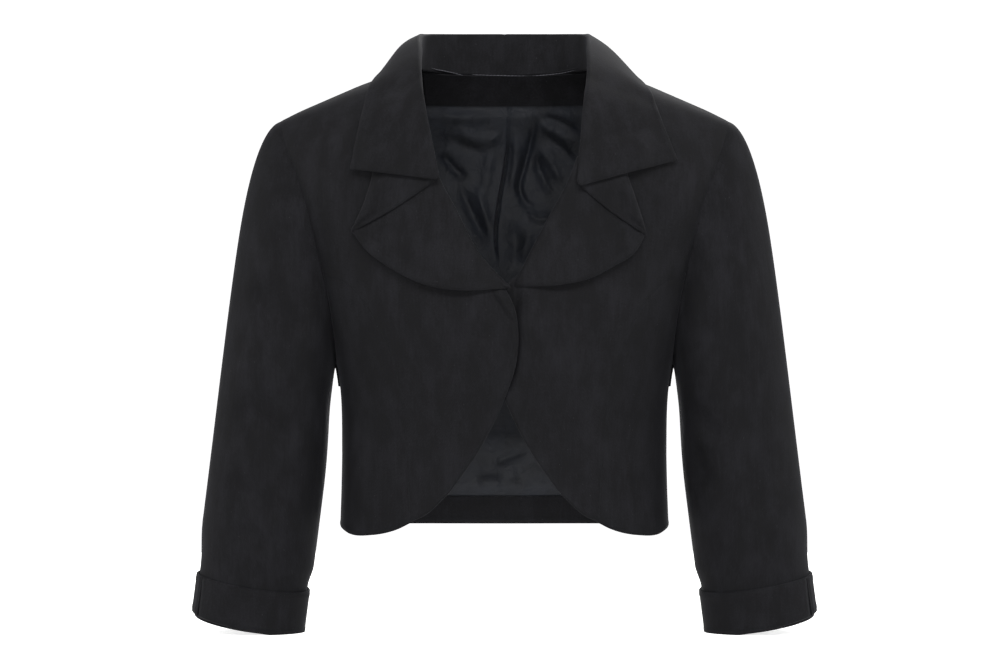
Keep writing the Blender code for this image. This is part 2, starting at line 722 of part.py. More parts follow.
def make_sleeves(collection, suiting):
    """Top and under sleeves, cut from one tube along two of its columns."""
    tube, normal, angle = sleeve_tube()
    columns = len(angle)
    hind = int(np.argmin(np.abs(angle - HIND_SEAM)))
    fore = int(np.argmin(np.abs(angle - FORE_SEAM)))
    strips = {
        "top_sleeve": np.arange(hind - columns, fore + 1),
        "under_sleeve": np.arange(fore, hind + 1),
    }
    for name, strip in strips.items():
        outer = tube[:, strip % columns].copy()
        away = normal[:, strip % columns]
        outer[:, 0] += HALF_SEAM * unit(outer[:, 1] - outer[:, 0])
        outer[:, -1] += HALF_SEAM * unit(outer[:, -2] - outer[:, -1])
        for side in ("left", "right"):
            add_piece(collection, suiting, f"{name}_{side}", outer, outer - WALL * away, side)


def round_values(angle, rows, at):
    """Closed rings read at given angles, between their own columns."""
    keys = np.concatenate([angle - 2 * np.pi, angle, angle + 2 * np.pi])
    columns = [np.interp(at, keys, np.tile(column, 3)) for column in rows.T]
    return np.stack(columns, axis=1)


def make_cuffs(collection, suiting):
    """Turned-back cuffs round the sleeve ends, open along a slit on the outer side."""
    tube, normal, angle = sleeve_tube()
    axis = unit(np.array(SLEEVE_AXIS))
    inside = np.sort((angle - CUFF_SLIT) % (2 * np.pi)) + CUFF_SLIT
    first, last = CUFF_SLIT + CUFF_SLIT_CLEAR, CUFF_SLIT + 2 * np.pi - CUFF_SLIT_CLEAR
    inside = inside[(inside > first) & (inside < last)]
    inner_rows, outer_rows = [], []
    for share in np.linspace(0.0, 1.0, CUFF_ROWS):
        height = CUFF_HEIGHT + share * (-CUFF_LIP - CUFF_HEIGHT)
        opening = CUFF_SLIT_TOP + share * (CUFF_SLIT_FOOT - CUFF_SLIT_TOP)
        half = 0.5 * opening / SLEEVE_HALF_WIDTH
        at = np.concatenate([[CUFF_SLIT + half], inside, [CUFF_SLIT + 2 * np.pi - half]])
        away = unit(round_values(angle, normal[-1], at))
        ring = round_values(angle, tube[-1], at) - height * axis + CUFF_GAP * away
        inner_rows.append(ring)
        outer_rows.append(ring + CUFF_WALL * away)
    for side in ("left", "right"):
        add_piece(collection, suiting, f"cuff_{side}", np.array(outer_rows), np.array(inner_rows), side)


def both_halves(x, z):
    """A half grid carried over the centre to the other side."""
    x = x.copy()
    x[:, 0] = 0.0
    return np.concatenate([-x[:, :0:-1], x], axis=1), np.concatenate([z[:, :0:-1], z], axis=1)


def make_inside(collection, suiting, satin):
    """Hem facing, lining halves and neck facing, from the points of the back moved in."""
    inside = -(WALL + LAYER_GAP)
    x, z = back_grid()
    hem_rows = BACK_ROWS[0]
    neck_row = len(x) - BACK_ROWS[-1]
    band = both_halves(x[:hem_rows, :-1], z[:hem_rows, :-1])
    outer, inner = both_faces(*band, 1, "left", inside, WALL)
    add_piece(collection, suiting, "hem_facing", outer, inner, "left")

    neck = slice(0, BACK_INNER_COLUMNS - 1)
    band = both_halves(x[neck_row:, neck], z[neck_row:, neck])
    outer, inner = both_faces(*band, 1, "left", inside, WALL)
    add_piece(collection, suiting, "neck_facing", outer, inner, "left")

    lining_x = x[hem_rows - 1:neck_row + 1, :-1]
    lining_z = z[hem_rows - 1:neck_row + 1, :-1].copy()
    lining_z[0] += SEAM
    lining_z[-1] -= SEAM
    for side in ("left", "right"):
        outer, inner = both_faces(lining_x, lining_z, 1, side, inside, LINING_WALL)
        add_piece(collection, satin, f"lining_{side}", outer, inner, side)


def main():
    """Build every piece of the blazer."""
    clear_scene()
    collection = bpy.data.collections.new("cropped_blazer")
    bpy.context.scene.collection.children.link(collection)
    suiting = cloth_material("black_suiting", SUITING, SUITING_ROUGHNESS)
    satin = cloth_material("satin_lining", SATIN, SATIN_ROUGHNESS)
    make_panels(collection, suiting)
    make_lapels(collection, suiting)
    make_collar(collection, suiting)
    make_sleeves(collection, suiting)
    make_cuffs(collection, suiting)
    make_inside(collection, suiting, satin)


main()
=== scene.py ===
"""Looks of a cropped blazer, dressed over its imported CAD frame.

Metres, +Z up. The wearer faces -Y, so the wearer's left is on +X, as in the frame.
Every sewn piece is a thin wall between two grids of points. The grids are patches of one
torso form, of a sleeve tube or of a folded strip, cut by the same seam lines as the CAD.
Turned edges, sunk seams and soft creases are added along the normals.
"""

import bpy
import numpy as np
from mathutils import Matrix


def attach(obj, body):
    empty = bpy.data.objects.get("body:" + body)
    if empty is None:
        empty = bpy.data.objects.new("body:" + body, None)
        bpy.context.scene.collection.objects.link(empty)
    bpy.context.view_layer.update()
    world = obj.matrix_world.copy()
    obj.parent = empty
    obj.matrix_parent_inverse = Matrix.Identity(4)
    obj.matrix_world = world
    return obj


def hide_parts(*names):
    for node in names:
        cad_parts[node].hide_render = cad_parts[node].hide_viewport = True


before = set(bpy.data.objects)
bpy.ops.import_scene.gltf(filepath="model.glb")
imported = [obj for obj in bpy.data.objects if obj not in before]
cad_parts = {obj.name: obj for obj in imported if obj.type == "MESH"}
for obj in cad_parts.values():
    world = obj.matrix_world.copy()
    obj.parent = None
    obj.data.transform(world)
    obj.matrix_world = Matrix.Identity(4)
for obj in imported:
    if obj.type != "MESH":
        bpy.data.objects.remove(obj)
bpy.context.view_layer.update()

# Cloth and seams
WALL = 0.0016
LINING_WALL = 0.0010
SEAM = 0.00004
HALF_SEAM = SEAM / 2
LAYER_GAP = 0.0004
TINY = 1e-9
NO_LENGTH = 1e-18
SIDES = ("left", "right")

# Turned edges swell a little behind the edge and round off at it; sewn edges sink
EDGE_SWELL, EDGE_SWELL_AT, EDGE_SWELL_WIDTH = 0.00035, 0.0036, 0.0020
EDGE_ROUND, EDGE_ROUND_WIDTH = 0.0005, 0.0009
SEAM_SINK, SEAM_SINK_WIDTH = 0.0008, 0.0016
PRESSED_SINK = 0.00025
FREE_BULGE, SEAM_BULGE = 0.45, 0.05
THIN_EDGE = 0.3

# Torso form
NECK_POINT = 0.075
SHOULDER_POINT = 0.197
RIDGE_TOP = 0.0523
RIDGE_SLOPE = 0.43
RIDGE_ROUND = 0.040
ROUND_PLAN = 2.2
ROUND_CROWN = 2.2
CROWN_DROP = 0.12
UNDERARM = -0.246
HEM_SIDE = -0.3882
HEM_BACK = -0.3906
NECK_BACK = 0.0137
FRONT_SPLIT = -0.111
BACK_SPLIT_FOOT = 0.066
BACK_SPLIT_WAIST = 0.068
BACK_SPLIT_NECK = 0.074
BACK_YOKE_SIDE = -0.062
FACING_DEPTH = 0.026
HEM_FACING_DEPTH = 0.025
FORM_LEVELS = (
    # z, half width, front depth, back depth
    (-0.420, 0.1448, 0.0975, 0.0985),
    (-0.391, 0.1444, 0.0980, 0.0970),
    (-0.350, 0.1431, 0.0985, 0.0930),
    (-0.320, 0.1426, 0.1000, 0.0905),
    (-0.246, 0.1475, 0.1130, 0.0960),
    (-0.206, 0.1590, 0.1175, 0.1000),
    (-0.140, 0.1790, 0.1150, 0.1040),
    (-0.090, 0.1980, 0.1110, 0.1020),
    (-0.050, 0.2120, 0.1080, 0.0960),
    (-0.020, 0.2220, 0.1050, 0.0890),
    (0.030, 0.2350, 0.1010, 0.0830),
    (0.060, 0.2420, 0.1000, 0.0820),
)

# Seam lines in front view, x measured towards the panel's own side
ARMHOLE = (
    # below the shoulder point
    (0.1900, -0.056),
    (0.1820, -0.079),
    (0.1710, -0.112),
    (0.1650, -0.135),
    (0.1600, -0.158),
    (0.1550, -0.181),
    (0.1510, -0.206),
    (0.1485, -0.228),
)
PRINCESS_LEVEL = -0.166
PRINCESS = (
    (0.1340, -0.178),
    (0.1180, -0.197),
    (0.1020, -0.226),
    (0.0950, -0.246),
    (0.0850, -0.320),
    (0.0800, -0.380),
)
NECKLINE_FRONT = (
    (0.0735, 0.000),
    (0.0695, -0.030),
    (0.0625, -0.069),
    (0.0549, -0.089),
    (0.0430, -0.111),
    (0.0217, -0.151),
    (0.0000, -0.181),
)
FRONT_EDGE = (
    (-0.0075, -0.196),
    (-0.0112, -0.222),
    (-0.0085, -0.248),
    (-0.0005, -0.272),
    (0.0217, -0.318),
    (0.0472, -0.355),
)
CUTAWAY_FOOT = (
    (0.0700, -0.375),
    (0.0800, -0.380),
)
SIDE_HEM = (
    (0.0920, -0.3862),
    (0.1155, -0.3922),
    (0.1370, -0.3920),
)

# The right front laps over the left one
LAP_LIFT = WALL + 2 * LAYER_GAP
LAP_FADE = 0.075

# Lapels and collar, per side: outline points in front view
LAPEL_WALL = 0.0014
FOLD_RADIUS = 0.0013
FOLD_RADIUS_AT_TIP, FOLD_GROWTH = 0.0006, 0.014
LAPEL_TOP = -0.068
LAPEL_TOP_X = 0.0628
FLAP_END, FLAP_SAG = 0.012, 0.0022
LAPEL = {
    "left": {
        "notch": (0.0640, -0.0935),
        "tip": (0.1185, -0.1345),
        "fold": ((0.1120, -0.111), (0.1050, -0.089), (0.1000, -0.068)),
        "edge": ((0.1080, -0.150), (0.0908, -0.1614), (0.0719, -0.1716), (0.0472, -0.1776)),
        "break": (0.0085, -0.1786),
    },
    "right": {
        "notch": (0.0575, -0.0885),
        "tip": (0.1287, -0.1315),
        "fold": ((0.1220, -0.117), (0.1165, -0.101), (0.1090, -0.068)),
        "edge": ((0.1142, -0.1483), (0.0984, -0.1605), (0.0625, -0.1784), (0.0429, -0.1819)),
        "break": (-0.0050, -0.1806),
    },
}
LAPEL_LIFT, LAPEL_LIFT_FROM, LAPEL_LIFT_FADE = 0.0052, -0.100, 0.050
LAPEL_ROLL_FADE = 0.050
LAPEL_ROLL, LAPEL_ROLL_AT_BREAK, LAPEL_ROLL_GROWTH = 0.0036, 0.3, 0.015
FRONT_TUCK, FRONT_TUCK_LOW, FRONT_TUCK_HIGH, FRONT_TUCK_FADE = 0.0050, -0.176, -0.066, 0.010
FOLD_PUFF, FOLD_PUFF_FROM, FOLD_PUFF_FADE = 0.0018, -0.084, 0.018
FLAP_REST, FLAP_REST_FADE = LAPEL_WALL + 0.0008, 0.016
COLLAR_WALL = 0.0016
COLLAR_LIFT = 0.0068
COLLAR_SETTLE, COLLAR_SETTLE_FROM, COLLAR_SETTLE_FADE = 0.0040, 0.112, 0.018
COLLAR_SETTLE_ABOVE = -0.060
COLLAR_ROLL = 0.0022
COLLAR_LAST_STAND = 0.004
COLLAR_FRONT_FROM, COLLAR_FRONT_FADE = 0.43, 0.14
COLLAR_EDGE_LIFT = 0.0018
NECK_DIP = 0.0050
COLLAR_BULGE = {"left": 0.0060, "right": 0.0080}
COLLAR_BULGE_AT, COLLAR_BULGE_WIDTH = 0.36, 0.13
COLLAR_SEAM_BACK = (
    # x, and how far the stand reaches below the neck seam
    (HALF_SEAM, 0.0020),
    (0.040, 0.0009),
    (0.064, 0.0009),
    (NECK_POINT, 0.0009),
)
COLLAR_SEAM_FRONT = (
    # x, z and distance off the front
    (0.0747, 0.0163, 0.0013),
    (0.0735, 0.0000, 0.0013),
    (0.0695, -0.0300, 0.0058),
)
COLLAR_ROLL_LINE = (
    # x, y, z of the top fold, from the centre back to the chest
    (0.0000, 0.0680, 0.0490),
    (0.0440, 0.0610, 0.0486),
    (0.0695, 0.0360, 0.0468),
    (0.0755, 0.0060, 0.0432),
    (0.0752, -0.0320, 0.0265),
    (0.0740, -0.0680, 0.0030),
    (0.0705, -0.0995, -0.0270),
)
COLLAR_EDGE_BACK = (
    # x, y, z of the free edge across the back
    (HALF_SEAM, 0.0800, -0.0040),
    (0.0620, 0.0745, -0.0060),
    (0.1050, 0.0430, -0.0030),
)
COLLAR_WING = {
    # outer edge of the fall, in front view, from the shoulder to the collar point
    "left": ((0.1170, 0.0030), (0.1255, -0.0100), (0.1355, -0.0395), (0.1470, -0.0705)),
    "right": ((0.1095, 0.0068), (0.1168, -0.0065), (0.1245, -0.0450), (0.1308, -0.0785)),
}

# Sleeves
WRIST = (0.2200, -0.013, -0.436)
SLEEVE_AXIS = (0.128, -0.030, -0.991)
SLEEVE_END_TILT = 0.16
SLEEVE_HALF_WIDTH = 0.0478
SLEEVE_HALF_DEPTH = 0.0420
SLEEVE_FRONT_DROP = 0.10
SLEEVE_HANDLE = 0.032
SLEEVE_OUTWARD, SLEEVE_OUTWARD_AT_SHOULDER = 0.72, 0.28
SLEEVE_SPREAD, SLEEVE_SPREAD_AT_SHOULDER = 0.45, -0.58
SLEEVE_AGREE_FROM, SLEEVE_AGREE_FADE = -0.1, 0.5
SLEEVE_FOOT_HANDLE = 0.60
SLEEVE_TURN_FADE = 0.35
SLEEVE_FULLNESS = 0.0032
SLEEVE_FULL_BY = 0.50
SLEEVE_FLAT_TO, SLEEVE_FLAT_FADE = 0.72, 0.40
SLEEVE_TUCK, SLEEVE_TUCK_TO, SLEEVE_TUCK_FADE = 0.0010, 0.60, 0.50
SLEEVE_HEAD_ROWS, SLEEVE_CUFF_ROWS, SLEEVE_LAST_ROWS = 12, 6, 2
HIND_SEAM = np.radians(235)
FORE_SEAM = np.radians(150)
CUFF_HEIGHT = 0.0362
CUFF_GAP = 0.0007
CUFF_WALL = 0.0018
CUFF_LIP = 0.0016
CUFF_RISE = 0.0052
CUFF_SLIT = np.radians(30)
CUFF_SLIT_TOP = 0.0010
CUFF_SLIT_FOOT = 0.0040

# Grid counts, and how closely the steps crowd at an edge
CROWD, CROWD_STEPS = 0.92, 6.0
FRONT_LOW_ROWS, FRONT_TOP_ROWS, FRONT_COLUMNS = 140, 56, 92
SIDE_COLUMNS = 44
BACK_ROWS = (16, 38, 50, 26)
BACK_INNER_COLUMNS, BACK_OUTER_COLUMNS = 40, 38
LINING_ROWS = (16, 64, 100, 26)
LINING_INNER_COLUMNS, LINING_OUTER_COLUMNS = 84, 52
SLEEVE_ROWS, CUFF_ROWS, CUFF_COLUMNS = 116, 24, 180
LAPEL_ROWS, LAPEL_COLUMNS, FLAP_COLUMNS, FOLD_COLUMNS = 72, 70, 40, 9
COLLAR_STATIONS, STAND_POINTS, FALL_POINTS, ROLL_POINTS = 120, 22, 52, 11
LINE_SAMPLES, SEAM_SAMPLES, EDGE_SAMPLES, HEM_SAMPLES = 60, 160, 260, 40
SEAM_COLUMN = 0.04

# Creases: points of the line, half width on its left and right as it runs, depth (in is negative)
CREASE_FADE = 0.3
SHOULDER_LIFTS = (
    (((-0.2050, -0.0360), (-0.1550, -0.0140), (-0.1000, 0.0090)), 0.0120, 0.0140, 0.0013),
    (((0.2050, -0.0360), (0.1550, -0.0140), (0.1000, 0.0090)), 0.0140, 0.0120, 0.0013),
)
FRONT_CREASES = SHOULDER_LIFTS + (
    # front view, world x and z: soft hollows, and flutes above the hem
    (((0.0060, -0.2150), (-0.0200, -0.2210), (-0.0520, -0.2270)), 0.0060, 0.0085, -0.0010),
    (((-0.1260, -0.0600), (-0.1160, -0.1050), (-0.1080, -0.1560)), 0.0180, 0.0150, -0.0026),
    (((0.1340, -0.0620), (0.1300, -0.1000), (0.1180, -0.1450)), 0.0150, 0.0180, -0.0012),
    (((-0.1180, -0.2650), (-0.1210, -0.3200), (-0.1160, -0.3950)), 0.0120, 0.0150, 0.0016),
    (((0.1190, -0.2500), (0.1160, -0.3150), (0.1200, -0.3950)), 0.0150, 0.0110, -0.0016),
    (((-0.0520, -0.2450), (-0.0600, -0.3000), (-0.0550, -0.3600)), 0.0220, 0.0170, 0.0012),
    (((0.0500, -0.2300), (0.0580, -0.2900), (0.0650, -0.3550)), 0.0190, 0.0230, 0.0011),
)
OVERLAP_CREASES = {
    # the right front twists under its lapel and lifts off the left front at the closing point
    "right": (
        (((-0.0110, -0.1790), (0.0000, -0.1950), (0.0100, -0.2100)), 0.0070, 0.0014, 0.0026),
        (((-0.0130, -0.1815), (-0.0018, -0.1972), (0.0082, -0.2120)), 0.0013, 0.0034, -0.0010),
        (((-0.0010, -0.1918), (0.0045, -0.1928), (0.0100, -0.1920)), 0.0016, 0.0018, -0.0010),
        (((0.0080, -0.2000), (0.0100, -0.2220), (0.0065, -0.2500), (-0.0080, -0.2850)),
         0.0040, 0.0040, 0.0016),
    ),
    "left": (
        (((0.0080, -0.1660), (0.0090, -0.1950), (0.0105, -0.2220), (0.0075, -0.2500), (-0.0065, -0.2850)),
         0.0034, 0.0060, -0.0036),
        (((0.0095, -0.1660), (0.0100, -0.1880), (0.0095, -0.2100)), 0.0062, 0.0050, -0.0034),
    ),
}
BACK_CREASES = SHOULDER_LIFTS + (
    # seen through from the front, world x and z
    (((0.1400, -0.1900), (0.1000, -0.2200), (0.0520, -0.2380)), 0.0080, 0.0130, -0.0026),
    (((0.1420, -0.2350), (0.0980, -0.2560), (0.0600, -0.2640)), 0.0070, 0.0110, -0.0020),
    (((-0.1420, -0.2050), (-0.1050, -0.2280), (-0.0680, -0.2420)), 0.0120, 0.0080, -0.0024),
    (((-0.1400, -0.2480), (-0.0900, -0.2680), (-0.0350, -0.2740)), 0.0100, 0.0075, -0.0018),
    (((-0.0720, -0.3060), (-0.0050, -0.3160), (0.0640, -0.3080)), 0.0110, 0.0140, -0.0016),
    (((0.1500, -0.0700), (0.1280, -0.1200), (0.1220, -0.1700)), 0.0140, 0.0170, -0.0024),
    (((-0.1480, -0.0760), (-0.1300, -0.1150), (-0.1260, -0.1580)), 0.0160, 0.0150, -0.0020),
    (((0.0400, -0.0400), (0.0450, -0.1000), (0.0420, -0.1600)), 0.0230, 0.0260, 0.0012),
    (((-0.0440, -0.0560), (-0.0400, -0.1150), (-0.0470, -0.1800)), 0.0260, 0.0220, 0.0011),
)
SLEEVE_FRONT_CREASES = (
    # front view, world x and z
    (((-0.2200, -0.1740), (-0.1960, -0.2000), (-0.1720, -0.2290)), 0.0130, 0.0090, -0.0042),
    (((-0.2340, -0.2360), (-0.2100, -0.2540), (-0.1820, -0.2680)), 0.0140, 0.0140, 0.0022),
    (((-0.2360, -0.2750), (-0.2080, -0.2960), (-0.1790, -0.3180)), 0.0130, 0.0090, -0.0050),
    (((-0.2400, -0.3410), (-0.2180, -0.3590), (-0.1950, -0.3830)), 0.0110, 0.0080, -0.0044),
    (((-0.2320, -0.3830), (-0.2160, -0.3960), (-0.1990, -0.4120)), 0.0070, 0.0060, -0.0026),
    (((0.1660, -0.0960), (0.1850, -0.1280), (0.2040, -0.1620)), 0.0120, 0.0140, -0.0026),
    (((0.1560, -0.2760), (0.1720, -0.2930), (0.1880, -0.3130)), 0.0090, 0.0100, -0.0036),
    (((0.1620, -0.3110), (0.1690, -0.3290), (0.1780, -0.3510)), 0.0080, 0.0090, -0.0030),
    (((0.2560, -0.3400), (0.2360, -0.3610), (0.2120, -0.3820)), 0.0090, 0.0120, -0.0036),
    (((0.2400, -0.3930), (0.2220, -0.4060), (0.2030, -0.4150)), 0.0070, 0.0080, -0.0022),
)
SLEEVE_BACK_CREASES = (
    # seen through from the front, world x and z
    (((-0.2400, -0.2480), (-0.2100, -0.2560), (-0.1780, -0.2480)), 0.0080, 0.0110, -0.0034),
    (((-0.2430, -0.2790), (-0.2150, -0.2880), (-0.1860, -0.2820)), 0.0070, 0.0090, -0.0030),
    (((-0.2400, -0.3120), (-0.2180, -0.3180), (-0.1950, -0.3140)), 0.0080, 0.0070, -0.0022),
    (((-0.2140, -0.1300), (-0.2000, -0.1700), (-0.1820, -0.2050)), 0.0120, 0.0110, -0.0022),
    (((0.2420, -0.2540), (0.2080, -0.2600), (0.1800, -0.2500)), 0.0100, 0.0080, -0.0032),
    (((0.2440, -0.2870), (0.2160, -0.2940), (0.1900, -0.2890)), 0.0080, 0.0080, -0.0027),
    (((0.2420, -0.3230), (0.2220, -0.3280), (0.2010, -0.3230)), 0.0070, 0.0080, -0.0020),
    (((0.2120, -0.1200), (0.1980, -0.1620), (0.1780, -0.1980)), 0.0110, 0.0130, -0.0020),
)
LAPEL_CREASES = (
    # front view, world x and z: at the break, near the tips and on the turned-over corners
    (((-0.0050, -0.1740), (0.0010, -0.1785), (0.0070, -0.1812)), 0.0012, 0.0014, 0.0012),
    (((-0.0030, -0.1775), (0.0020, -0.1803), (0.0060, -0.1825)), 0.0010, 0.0010, -0.0008),
    (((-0.1200, -0.1330), (-0.1080, -0.1400), (-0.0960, -0.1490)), 0.0030, 0.0040, -0.0009),
    (((-0.1130, -0.1190), (-0.1090, -0.1330), (-0.1100, -0.1460)), 0.0030, 0.0040, 0.0008),
    (((0.1160, -0.1300), (0.1060, -0.1360), (0.1010, -0.1470)), 0.0030, 0.0040, -0.0010),
    (((0.1080, -0.1230), (0.1000, -0.1290), (0.0960, -0.1380)), 0.0030, 0.0040, 0.0008),
    (((-0.1000, -0.0740), (-0.0990, -0.0880), (-0.1030, -0.1080)), 0.0040, 0.0040, 0.0009),
    (((-0.0880, -0.0740), (-0.0890, -0.0860), (-0.0900, -0.1000)), 0.0030, 0.0040, -0.0008),
    (((0.0900, -0.0760), (0.0880, -0.0880), (0.0920, -0.1020)), 0.0040, 0.0030, -0.0007),
)
# The lining's centre seam wanders: height, and how far it lies to the left
LINING_SHIFT = ((-0.0119, 0.0037), (-0.0355, 0.0023), (-0.0554, 0.0014), (-0.0834, -0.0032),
                (-0.1106, -0.0077), (-0.1332, -0.0086), (-0.1513, -0.0059), (-0.2000, 0.0000))
LINING_SHIFT_FADE = 0.080
LINING_SIDE_COLUMNS = 5
LINING_PUFF, LINING_PUFF_FADE = 0.0034, 0.012
LINING_CREASES = (
    # front view, world x and z; in is towards the back
    (((0.0037, -0.0330), (0.0016, -0.0600), (-0.0050, -0.1000), (-0.0080, -0.1330), (-0.0050, -0.1600)),
     0.0011, 0.0010, -0.0036),
    (((0.0300, -0.0147), (0.0260, -0.0373), (0.0180, -0.0680), (0.0140, -0.0850), (0.0190, -0.0990),
      (0.0290, -0.1060), (0.0430, -0.1050)), 0.0026, 0.0034, -0.0032),
    (((0.0200, -0.1060), (0.0300, -0.1140), (0.0450, -0.1130)), 0.0040, 0.0034, 0.0026),
    (((0.0276, -0.0200), (0.0500, -0.0250), (0.0706, -0.0380)), 0.0030, 0.0036, -0.0026),
    (((0.0300, -0.0260), (0.0500, -0.0355), (0.0680, -0.0480)), 0.0034, 0.0040, 0.0026),
    (((0.0310, -0.0340), (0.0500, -0.0480), (0.0660, -0.0640)), 0.0034, 0.0034, -0.0026),
    (((0.0300, -0.0440), (0.0430, -0.0640), (0.0550, -0.0840)), 0.0040, 0.0044, 0.0024),
    (((0.0270, -0.0540), (0.0340, -0.0750), (0.0430, -0.0930)), 0.0036, 0.0040, -0.0024),
    (((-0.0600, -0.0220), (-0.0350, -0.0190), (-0.0100, -0.0210)), 0.0040, 0.0060, 0.0018),
    (((-0.0480, -0.0300), (-0.0240, -0.0400), (0.0000, -0.0390)), 0.0050, 0.0070, 0.0030),
    (((-0.0620, -0.0370), (-0.0360, -0.0480), (-0.0140, -0.0560)), 0.0050, 0.0050, -0.0020),
    (((-0.0600, -0.0520), (-0.0450, -0.0690), (-0.0330, -0.0800)), 0.0036, 0.0046, -0.0034),
    (((-0.0420, -0.0820), (-0.0267, -0.1160), (-0.0131, -0.1400)), 0.0044, 0.0044, -0.0028),
    (((-0.0267, -0.0800), (-0.0176, -0.1115), (-0.0113, -0.1310)), 0.0050, 0.0044, 0.0024),
    (((-0.0110, -0.0460), (-0.0150, -0.0700), (-0.0180, -0.0960)), 0.0050, 0.0060, 0.0020),
    (((0.0110, -0.0300), (0.0100, -0.0600), (0.0050, -0.0950)), 0.0060, 0.0044, 0.0024),
    (((0.0040, -0.1150), (0.0100, -0.1350), (0.0080, -0.1650)), 0.0070, 0.0060, 0.0018),
    (((0.0250, -0.1200), (0.0200, -0.1400), (0.0120, -0.1550)), 0.0050, 0.0060, -0.0018),
    (((-0.0120, -0.3350), (0.0050, -0.3290), (0.0220, -0.3215)), 0.0030, 0.0042, -0.0018),
    (((-0.0240, -0.3580), (-0.0120, -0.3540), (-0.0010, -0.3560)), 0.0084, 0.0070, 0.0018),
    (((0.0080, -0.3400), (0.0160, -0.3500), (0.0190, -0.3620)), 0.0056, 0.0070, -0.0014),
)

# Stitching along the back neck: each line's points, x and height
NECK_STITCHES = (
    ((-0.0715, 0.0172), (-0.0500, 0.0143), (-0.0310, 0.0106), (-0.0080, 0.0092)),
    ((-0.0300, 0.0127), (-0.0100, 0.0124), (0.0360, 0.0122), (0.0580, 0.0142), (0.0715, 0.0176)),
)
STITCH_RADIUS = 0.00028
STITCH_SAMPLES, STITCH_SIDES = 90, 8
STITCH_END, STITCH_END_STEPS = 0.2, 4
# An eight-sided end as three four-sided faces
STITCH_CAP = ((0, 7, 6, 1), (1, 6, 5, 2), (2, 5, 4, 3))

# Camera: distance from the plane of the shoulders, its height, and metres to an image pixel there
IMAGE_WIDTH = 1008
CAMERA_DISTANCE = 3.2
CAMERA_HEIGHT = -0.221
CAMERA_SIDE = -0.0004
PIXEL = 0.00088
SENSOR = 36.0

# Stage
FLOOR_LEVEL = -0.480
FLOOR_RADIUS, FLOOR_HOLE, FLOOR_RINGS, FLOOR_SIDES = 1.2, 0.01, 24, 96
SURROUND_RADIUS, SURROUND_RINGS, SURROUND_SIDES = 20.0, 31, 64
ROOM_LIGHT = 0.09
LIGHTS = (
    # name, place, the point it looks at, width and height, watts
    ("key_box", (0.1, -2.1, 1.7), (0.0, 0.0, -0.15), (2.8, 0.6), 84.0),
    ("front_box", (0.0, -2.7, -0.20), (0.0, 0.0, -0.30), (2.6, 0.5), 26.0),
    ("low_front_box", (0.0, -0.9, -0.46), (0.0, 0.0, -0.30), (1.2, 0.6), 3.0),
    ("top_box", (0.7, 0.4, 1.9), (0.0, 0.0, 0.0), (1.4, 1.0), 12.0),
    ("side_box_left", (-2.2, -0.4, 0.6), (0.0, 0.0, -0.2), (0.8, 1.4), 17.0),
    ("side_box_right", (2.2, -0.4, 0.6), (0.0, 0.0, -0.2), (0.8, 1.4), 15.0),
    ("rim_box_left", (-2.2, 0.7, 0.9), (0.0, 0.0, -0.1), (0.8, 1.4), 14.0),
    ("rim_box_right", (2.2, 0.7, 0.9), (0.0, 0.0, -0.1), (0.8, 1.4), 16.0),
    ("back_box", (0.3, 2.2, 1.6), (0.0, 0.0, -0.15), (1.2, 0.8), 52.0),
    ("low_back_box", (0.0, 2.7, -0.10), (0.0, 0.0, -0.25), (2.6, 0.9), 36.0),
    ("inside_box", (0.0, 0.035, -0.470), (0.0, 0.097, -0.385), (0.06, 0.03), 0.085),
)


def hermite(keys, values, at):
    """Smooth curve through rows of values at rising keys, read at the given keys."""
    keys = np.asarray(keys, float)
    values = np.asarray(values, float)
    slopes = np.gradient(values, keys, axis=0)
    low = np.clip(np.searchsorted(keys, at, side="right") - 1, 0, len(keys) - 2)
    step = keys[low + 1] - keys[low]
    part = (at - keys[low]) / step
    if values.ndim > 1:
        step = step[..., None]
        part = part[..., None]
    start, end = values[low], values[low + 1]
    rise_start, rise_end = slopes[low] * step, slopes[low + 1] * step
    cubic = 2 * (start - end) + rise_start + rise_end
    square = 3 * (end - start) - 2 * rise_start - rise_end
    return start + part * (rise_start + part * (square + part * cubic))


def chord_keys(points):
    """Running length along a chain of points, from 0."""
    lengths = np.linalg.norm(np.diff(points, axis=0), axis=1)
    return np.concatenate([[0.0], np.cumsum(lengths)])


def smooth_line(points, samples=SEAM_SAMPLES):
    """Dense smooth line through a few points."""
    points = np.asarray(points, float)
    keys = chord_keys(points)
    return hermite(keys, points, np.linspace(0.0, keys[-1], samples))


def joined(*lines):
    """Lines end to end, without the doubled points."""
    chain = [lines[0]]
    for line in lines[1:]:
        chain.append(line[1:])
    return np.concatenate(chain)


def shares(count, low=0.0, high=0.0):
    """Shares from 0 to 1 in steps that grow away from a crowded low or high end."""
    step = np.arange(count - 1)
    size = 1.0 - low * np.exp(-step / CROWD_STEPS) - high * np.exp(-step[::-1] / CROWD_STEPS)
    return np.concatenate([[0.0], np.cumsum(size)]) / np.sum(size)


def spaced(line, guide, share):
    """Points of a line at shares of the running length of its guide."""
    keys = chord_keys(guide)
    keys = keys + np.arange(len(keys)) * TINY
    return np.stack([np.interp(share * keys[-1], keys, column) for column in line.T], axis=1)


def unit(vectors):
    """Vectors scaled to length one."""
    return vectors / np.maximum(np.linalg.norm(vectors, axis=-1, keepdims=True), NO_LENGTH)


def ease(value):
    """Smooth step from 0 to 1."""
    value = np.clip(value, 0.0, 1.0)
    return value * value * (3.0 - 2.0 * value)


def ridge(x):
    """Height of the shoulder line at a distance from the centre, rounded off over the neck."""
    across = np.abs(x)
    inside = across**2 / (2 * RIDGE_ROUND) + RIDGE_ROUND / 2
    return RIDGE_TOP - RIDGE_SLOPE * np.where(across < RIDGE_ROUND, inside, across)


